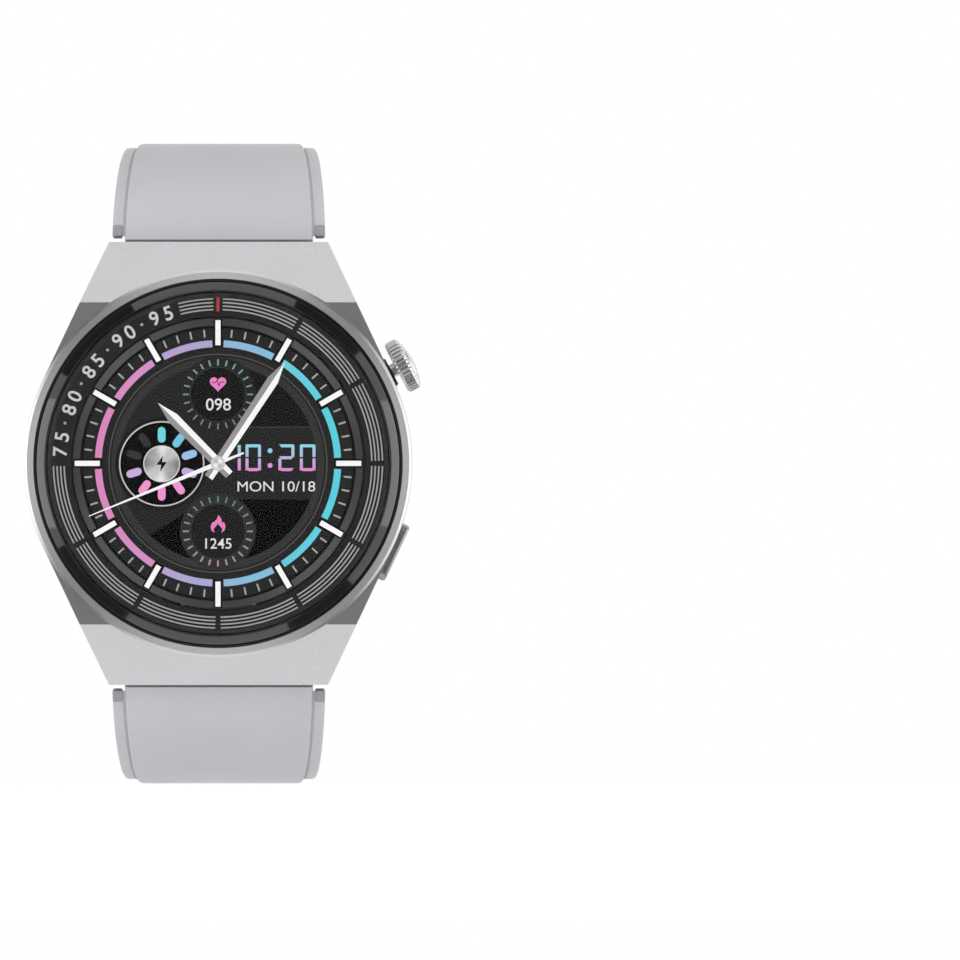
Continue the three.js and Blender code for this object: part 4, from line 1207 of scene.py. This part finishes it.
def makeBuckle(metal, steel):
    b = buckle
    outer, inner, corner = b["outer"], b["inner"], b["corner"]
    arm = outer - inner
    right = arcPoints(outer - arm / 2, b["near"] - arm / 2, arm / 2, 180, 0)
    outline = right + arcPoints(outer - corner, b["far"] + corner, corner, 0, -90)
    outline += [(-x, up) for x, up in outline[::-1]]
    innerCorner = arcPoints(-inner + 1.0, b["far"] + arm + 1.0, 1.0, 180, 270)
    outline += innerCorner + [(-x, up) for x, up in innerCorner[::-1]]
    framePiece = makePiece("buckleFrame", prism(outline, b["low"], b["high"]), metal, "buckle",
                           ["buckle_frame"])
    cutWith(framePiece, [looseTool(roundRod(b["pinRadius"] + 0.05, -11.3, 11.3, *b["pinPlace"], 24))])
    addBevel(framePiece, 0.42, segments=4, angle=40)
    pin = makePiece("bucklePin", roundRod(b["pinRadius"], -11.2, 11.2, *b["pinPlace"]), steel, "buckle",
                    ["buckle_pin"])
    addBevel(pin, 0.1, segments=2, angle=40)
    up, out = b["pinPlace"]
    over, cross = b["low"] - 0.15, b["far"] + arm
    shaft = [(up, out - 1.9), (up, out - 0.6), (up - 1.9, out - 0.9), (cross + 0.4, over),
             (b["far"] - 0.4, over),
             (b["far"] - 0.6, over - 0.6), (b["far"] + 0.6, over - 1.0), (cross, over - 1.3),
             (up - 1.5, out - 2.1)]
    tongue = makePiece("buckleTongue", sweptOutline(shaft, -b["tongueHalf"], b["tongueHalf"], alongX),
                       metal, "tongue",
                       ["buckle_tongue"])
    cutWith(tongue, [looseTool(roundRod(b["eyeRadius"], -b["tongueHalf"], b["tongueHalf"], up, out))],
            "UNION")
    cutWith(tongue, [looseTool(roundRod(strap["barHole"], -3, 3, up, out, 24))])
    addBevel(tongue, 0.25, segments=3, angle=38)


# the strap tabs by the case are simply given a darker grey than the strap
darkerTabSurface = polymerSurface("darkerTabGrey", srgb(150, 151, 153), srgb(160, 161, 163), 0.45, 0.6,
                            grainScale=3800.0,
                            bump=0.16)
silicone = polymerSurface("softSilicone", srgb(194, 195, 198), srgb(202, 203, 206), 0.52, 0.66,
                          grainScale=3800.0, bump=0.16)
silicone.set(Sheen_Weight=0.25, Sheen_Roughness=0.4, Specular_IOR_Level=0.4)
buckleMetal = metalSurface("buckleMetal", (0.56, 0.56, 0.575), (0.66, 0.66, 0.68), 0.2, 0.3,
                           stretch=(14000, 2500, 14000))
pinSteel = metalSurface("pinSteel", (0.50, 0.50, 0.51), (0.62, 0.62, 0.63), 0.2, 0.34,
                        stretch=(9000, 900, 900))
makeStraps(silicone)
makeBuckle(buckleMetal, pinSteel)
print("strap, keepers and buckle made")

# back: cover plate, domed sensor glass, crossed screws, charging contacts and the bars in the lugs
back = {
    "coverRadius": 20.45,
    "coverFace": 0.8,
    "coverTop": 2.35,
    "windowRadius": 11.1,
    "windowTop": 1.55,
    "windowHole": 11.25,
    "ledge": 10.15,
    "screwCircle": 18.2,
    "screwClocks": (45, 135, 225, 315),
    "screwRadius": 1.2,
    "screwFace": 0.9,
    "screwSeat": 1.4,
    "contactPlaces": [(-2.2, -14.6), (2.2, -14.6)],
    "contactRadius": 1.0,
    "contactHole": 1.06,
    "contactFace": 0.75,
}


def movedTool(bm, x, up):
    bmesh.ops.translate(bm, vec=dial(x, up, 0), verts=bm.verts)
    return looseTool(bm)


def makeCover(surface):
    b = back
    profile = [(b["windowHole"], b["coverFace"]), (b["coverRadius"] - 0.9, b["coverFace"]),
               (b["coverRadius"], b["coverFace"] + 0.7), (b["coverRadius"], b["coverTop"]),
               (b["ledge"], b["coverTop"]),
               (b["ledge"], b["windowTop"]), (b["windowHole"], b["windowTop"])]
    piece = makePiece("backCover", spunProfile(profile, 160), surface, "case",
                      ["back_cover"])
    tools = []
    for clock in b["screwClocks"]:
        sink = spunSolid([(0, 0), (1.35, 0), (1.35, b["screwSeat"]), (0.75, b["screwSeat"]), (0.75, 3),
                          (0, 3)], 32)
        tools.append(movedTool(sink, *polar(b["screwCircle"], clock)))
    for place in b["contactPlaces"]:
        tools.append(movedTool(plug(b["contactHole"], 0, 3, 32), *place))
    cutWith(piece, tools)
    addBevel(piece, 0.08, segments=3)


def makeWindow(glass):
    b = back
    radius, top = b["windowRadius"], b["windowTop"]
    profile = [(0, 0)] + [(radius * share, 0.62 * share ** 3.2)
                          for share in (0.25, 0.45, 0.6, 0.72, 0.82, 0.9, 0.96)]
    profile += [(radius, 0.8), (radius, top), (0, top)]
    makePiece("sensorWindow", spunSolid(profile, 128), glass, "case", ["sensor_window"],
              sharpAngle=40)


def makeBackFittings(steel, gold):
    b = back
    for index in range(len(b["screwClocks"])):
        low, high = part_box(f"back_screw_{index + 1}")
        x, up = (low.x + high.x) / 2 / mm, (low.z + high.z) / 2 / mm
        end = -low.y / mm
        head = spunSolid([(0, b["screwFace"]), (0.95, b["screwFace"]),
                          (b["screwRadius"], b["screwFace"] + 0.18),
                          (b["screwRadius"], b["screwSeat"]), (0.6, b["screwSeat"]), (0.6, end - 0.25),
                          (0.4, end),
                          (0, end)], 40)
        bmesh.ops.translate(head, vec=dial(x, up, 0), verts=head.verts)
        piece = makePiece(f"backScrew{index + 1}", head, steel, "case",
                          [f"back_screw_{index + 1}"])
        slots = [dialBox(x - 0.72, x + 0.72, up - 0.14, up + 0.14, 0.5, b["screwFace"] + 0.3),
                 dialBox(x - 0.14, x + 0.14, up - 0.72, up + 0.72, 0.5, b["screwFace"] + 0.3)]
        cutWith(piece, [looseTool(slot) for slot in slots])
        addBevel(piece, 0.03, segments=2)
    for index, (x, up) in enumerate(b["contactPlaces"]):
        low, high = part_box(f"charge_contact_{index + 1}")
        pad = plug(b["contactRadius"], b["contactFace"], -low.y / mm, 48)
        bmesh.ops.translate(pad, vec=dial((low.x + high.x) / 2 / mm, (low.z + high.z) / 2 / mm, 0),
                            verts=pad.verts)
        piece = makePiece(f"chargeContact{index + 1}", pad, gold, "case",
                          [f"charge_contact_{index + 1}"])
        addBevel(piece, 0.1, segments=3)
    for clock, sign in ((12, 1), (6, -1)):
        up, out = sign * strap["barPlace"][0], strap["barPlace"][1]
        bar = roundRod(0.75, -10.9, 10.9, up, out)
        piece = makePiece(f"springBar{clock}", bar, steel, f"strap_{clock}",
                          [f"spring_bar_{clock}"])
        low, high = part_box(f"spring_bar_{clock}")
        tip = roundRod(0.4, low.x / mm, -10.5, up, out, 24)
        room = [roundRod(0.5, 3.5, 12, up, out, 24), dialBox(5.5, 7.9, up - 0.4, up + 0.4, 0, out)]
        cutWith(piece, [looseTool(tip)], "UNION")
        cutWith(piece, [looseTool(tool) for tool in room])
        addBevel(piece, 0.05, segments=2, angle=40)
        pin = roundRod(0.4, 5.2, 12.2, up, out, 24)
        piece = makePiece(f"releasePin{clock}", pin, steel, f"release_{clock}",
                          [f"release_pin_{clock}"])
        low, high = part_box(f"release_pin_{clock}")
        lever = plug(0.3, -high.y / mm, out, 24)
        cutWith(piece, [movedTool(lever, 7.4, up)], "UNION")
        addBevel(piece, 0.06, segments=2, angle=40)


backPlastic = polymerSurface("backPlastic", grey(38), grey(48), 0.34, 0.5, grainScale=4200.0, bump=0.2,
                             wear=grey(88))
sensorGlass = Surface("sensorGlass").set(Base_Color=(0.42, 0.42, 0.45, 1), Transmission_Weight=1.0,
                                         IOR=1.45)
sensorGlass.feed("Roughness", sensorGlass.ranged(sensorGlass.group(edgeWear).outputs["Smudge"], 0.0,
                                                 0.02))
screwSteel = metalSurface("screwSteel", (0.46, 0.46, 0.47), (0.6, 0.6, 0.61), 0.22, 0.36,
                          grainScale=9000.0)
contactGold = metalSurface("contactGold", (0.80, 0.58, 0.24), (0.90, 0.68, 0.32), 0.16, 0.28,
                           grainScale=9000.0,
                           wear=(0.95, 0.82, 0.5))
makeCover(backPlastic)
makeWindow(sensorGlass)
makeBackFittings(screwSteel, contactGold)
print("back made")

# inner parts keep their CAD shape and get their own finishes
inside = {
    "sealRubber": ["bezel_gasket", "crystal_gasket", "back_gasket", "crown_o_ring", "button_seal"],
    "framePlastic": ["inner_frame", "light_baffle"],
    "boardGreen": ["main_board", "sensor_board"],
    "copperFlex": ["display_flex", "side_key_flex"],
    "tinnedSteel": ["shield_can", "display_backplate", "speaker_module", "microphone"],
    "turnedSteel": ["crown_stem", "button_stem", "crown_clip", "button_clip", "crown_plunger",
                    "vibration_motor"],
    "switchPlastic": ["crown_switch", "button_switch"],
    "chipEpoxy": ["processor_chip"],
    "batteryFoil": ["battery_cell"],
    "magnetNickel": ["charge_magnet_1", "charge_magnet_2"],
    "ledGreen": ["sensor_led_1", "sensor_led_2"],
    "diodeDark": ["photodiode"],
}


def boardSurface():
    surface = Surface("boardGreen").set(Coat_Weight=0.4, Coat_Roughness=0.12)
    weave = surface.tree.nodes.new("ShaderNodeTexVoronoi")
    weave.distance = "CHEBYCHEV"
    weave.inputs["Scale"].default_value = 1400
    linked(surface.tree, surface.place.outputs["Object"], weave.inputs["Vector"])
    marks = surface.group(edgeWear)
    traces = surface.blendColors(weave.outputs["Distance"], srgb(16, 62, 44), srgb(26, 92, 62), 0.35, 0.5)
    surface.feed("Base Color", surface.mixed(marks.outputs["Wear"], traces, srgb(150, 150, 110)))
    surface.feed("Roughness", surface.ranged(marks.outputs["Smudge"], 0.32, 0.46))
    return surface.bump(weave.outputs["Distance"], 0.2, 0.00003)


def foilSurface():
    surface = Surface("batteryFoil").set(Metallic=0.7)
    marks = surface.group(edgeWear)
    grain = surface.group(surfaceGrain, Grain_Scale=1600.0, Patch_Scale=240.0)
    base = surface.blendColors(grain.outputs["Patches"], (0.50, 0.51, 0.53), (0.62, 0.63, 0.65))
    surface.feed("Base Color", surface.mixed(marks.outputs["Wear"], base, (0.8, 0.8, 0.8)))
    surface.feed("Roughness", surface.ranged(grain.outputs["Patches"], 0.28, 0.5))
    return surface.bump(grain.outputs["Patches"], 0.35, 0.0001)


surfaces = {
    "sealRubber": polymerSurface("sealRubber", grey(24), grey(34), 0.6, 0.78, grainScale=3200.0,
                                 bump=0.3),
    "framePlastic": polymerSurface("framePlastic", grey(30), grey(42), 0.45, 0.6, grainScale=2800.0),
    "boardGreen": boardSurface(),
    "copperFlex": polymerSurface("copperFlex", srgb(150, 92, 38), srgb(186, 120, 52), 0.3, 0.44,
                                 grainScale=1800.0),
    "tinnedSteel": metalSurface("tinnedSteel", (0.50, 0.50, 0.51), (0.62, 0.62, 0.63), 0.24, 0.4,
                                stretch=(600, 9000, 9000)),
    "turnedSteel": metalSurface("turnedSteel", (0.48, 0.48, 0.49), (0.64, 0.64, 0.65), 0.2, 0.34,
                                grainScale=8000.0),
    "switchPlastic": polymerSurface("switchPlastic", grey(188), grey(206), 0.35, 0.5, grainScale=3600.0),
    "chipEpoxy": polymerSurface("chipEpoxy", grey(20), grey(30), 0.42, 0.56, grainScale=6400.0,
                                wear=grey(70)),
    "batteryFoil": foilSurface(),
    "magnetNickel": metalSurface("magnetNickel", (0.62, 0.60, 0.56), (0.72, 0.70, 0.66), 0.14, 0.26,
                                 grainScale=7000.0),
    "ledGreen": polymerSurface("ledGreen", srgb(92, 170, 96), srgb(140, 206, 130), 0.14, 0.24,
                               grainScale=3000.0, bump=0.1),
    "diodeDark": polymerSurface("diodeDark", srgb(26, 22, 40), srgb(40, 32, 58), 0.1, 0.2,
                                grainScale=3000.0, bump=0.08),
}
for name, nodes in inside.items():
    for node in nodes:
        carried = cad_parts[node]
        carried.data.materials.clear()
        carried.data.materials.append(surfaces[name].material)
print("inner finishes set")


# studio: white floor, soft light from all round but the back, camera square to the dial
studio = {
    "lens": 600,
    "distance": 1.907,
    "aim": (31.05, -1.97),
    "floorSize": 0.8,
    "floorDrop": 13,
    "background": 1.0,
    "fill": 0.6,
    "softboxes": [("top", (0, -0.5, 0.55), (0.9, 0.35), 0.8, False),
                  ("low", (0, -0.5, -0.5), (0.9, 0.3), 1.7, False),
                  ("front", (0, -2.2, 0.05), (1.6, 0.9), 10, False),
                  ("left", (-0.8, -0.1, 0.0), (0.7, 0.6), 1.5, True),
                  ("right", (0.8, -0.1, 0.0), (0.7, 0.6), 1.5, True)],
    "frontCardLevel": 0.19,
    "slimCardLevel": 0.05,
    "slimCards": [(38, 0.42), (145, 0.4), (227, 0.5), (315, 0.5)],
}


def makeCamera():
    camera = bpy.data.objects.new("camera", bpy.data.cameras.new("camera"))
    bpy.context.scene.collection.objects.link(camera)
    camera.data.lens = studio["lens"]
    camera.data.sensor_width = 36
    camera.data.clip_end = 50
    camera.location = (studio["aim"][0] * mm, -studio["distance"], studio["aim"][1] * mm)
    camera.rotation_euler = (math.pi / 2, 0, 0)
    bpy.context.scene.camera = camera


def makeWorld():
    world = bpy.data.worlds.new("studio")
    bpy.context.scene.world = world
    world.use_nodes = True
    tree = world.node_tree
    tree.nodes.clear()
    leave, mix, white, fill = newNodes(tree, "OutputWorld", "MixShader", "Background", "Background")
    path, ways, seen = newNodes(tree, "LightPath", "Math", "Math")
    ways.operation = seen.operation = "MAXIMUM"
    white.inputs["Color"].default_value = (1, 1, 1, 1)
    white.inputs["Strength"].default_value = studio["background"]
    fill.inputs["Color"].default_value = (1, 1, 1, 1)
    fill.inputs["Strength"].default_value = studio["fill"]
    linked(tree, path.outputs["Is Camera Ray"], ways.inputs[0])
    linked(tree, path.outputs["Is Transmission Ray"], ways.inputs[1])
    linked(tree, path.outputs["Is Glossy Ray"], seen.inputs[0])
    linked(tree, ways.outputs[0], seen.inputs[1])
    linked(tree, seen.outputs[0], mix.inputs["Fac"])
    linked(tree, fill.outputs[0], mix.inputs[1])
    linked(tree, white.outputs[0], mix.inputs[2])
    linked(tree, mix.outputs[0], leave.inputs["Surface"])


def addSoftbox(name, place, size, power, mirrored):
    light = bpy.data.lights.new(name, "AREA")
    light.shape, light.size, light.size_y, light.energy = "RECTANGLE", size[0], size[1], power
    lamp = bpy.data.objects.new(name, light)
    bpy.context.scene.collection.objects.link(lamp)
    lamp.location = place
    lamp.visible_glossy = lamp.visible_transmission = mirrored
    lamp.rotation_euler = (-Vector(place)).to_track_quat("-Z", "Y").to_euler()


# dark cards that only reflections meet: one behind the camera, four slim ones on the diagonals
def addCard(name, place, across, along, level):
    bm = bmesh.new()
    bmesh.ops.create_grid(bm, x_segments=1, y_segments=1, size=0.5)
    across, along = Vector(across), Vector(along)
    facing = Matrix((across, along, across.cross(along))).transposed().to_4x4()
    bmesh.ops.transform(bm, matrix=Matrix.Translation(place) @ facing, verts=bm.verts)
    card = newObject(name, bm)
    felt = Surface(name + "Felt").set(Roughness=0.9, Emission_Strength=1.0, Specular_IOR_Level=0.0)
    grain = felt.group(surfaceGrain, Grain_Scale=600.0, Patch_Scale=5.0).outputs["Patches"]
    felt.feed("Emission Color", felt.blendColors(grain, (level * 0.92,) * 3, (level * 1.08,) * 3))
    felt.feed("Base Color", felt.blendColors(grain, (0.01, 0.01, 0.01), (0.02, 0.02, 0.02)))
    card.data.materials.append(felt.material)
    card.visible_camera = card.visible_diffuse = card.visible_shadow = card.visible_transmission = False
    card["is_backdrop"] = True


def makeFloor():
    bm = bmesh.new()
    bmesh.ops.create_grid(bm, x_segments=1, y_segments=1, size=studio["floorSize"] / 2)
    bmesh.ops.translate(bm, vec=(0, studio["floorSize"] / 2 - 0.12,
                                 cadBox[0][2] - studio["floorDrop"] * mm), verts=bm.verts)
    floor = newObject("floor", bm)
    paper = Surface("floorPaper").set(Roughness=0.9)
    patches = paper.group(surfaceGrain, Grain_Scale=900.0, Patch_Scale=8.0)
    paper.feed("Base Color", paper.blendColors(patches.outputs["Patches"], grey(240), grey(246)))
    paper.set(Emission_Color=(1, 1, 1, 1))
    path, glow = newNodes(paper.tree, "LightPath", "Math")
    glow.operation = "MULTIPLY"
    glow.inputs[1].default_value = 0.5
    linked(paper.tree, path.outputs["Is Camera Ray"], glow.inputs[0])
    paper.feed("Emission Strength", glow.outputs[0])
    # the underside is clear, so the watch can be seen from below
    tree = paper.tree
    side, clear, mix = newNodes(tree, "NewGeometry", "BsdfTransparent", "MixShader")
    output = next(node for node in tree.nodes if node.type == "OUTPUT_MATERIAL")
    solid = output.inputs["Surface"].links[0].from_socket
    linked(tree, side.outputs["Backfacing"], mix.inputs[0])
    linked(tree, solid, mix.inputs[1])
    linked(tree, clear.outputs[0], mix.inputs[2])
    linked(tree, mix.outputs[0], output.inputs["Surface"])
    floor.data.materials.append(paper.material)
    floor.visible_glossy = floor.visible_shadow = False
    floor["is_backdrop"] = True


makeCamera()
makeWorld()
makeFloor()
for side, place, size, power, mirrored in studio["softboxes"]:
    addSoftbox(side + "Softbox", place, size, power, mirrored)
addCard("frontCard", (0, -2.4, 0), (2.7, 0, 0), (0, 0, 2.5), studio["frontCardLevel"])
for turn, width in studio["slimCards"]:
    x, up = polar(0.9, turn)
    acrossX, acrossUp = polar(width, turn + 90)
    addCard(f"slimCard{turn}", (x, -0.65, up), (acrossX, 0, acrossUp), (0, 1.5, 0),
            studio["slimCardLevel"])
bpy.context.scene.view_settings.view_transform = "Standard"
print("studio made")

({"cad": [list(corner) for corner in cadBox],
           "visual": [list(corner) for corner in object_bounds()]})
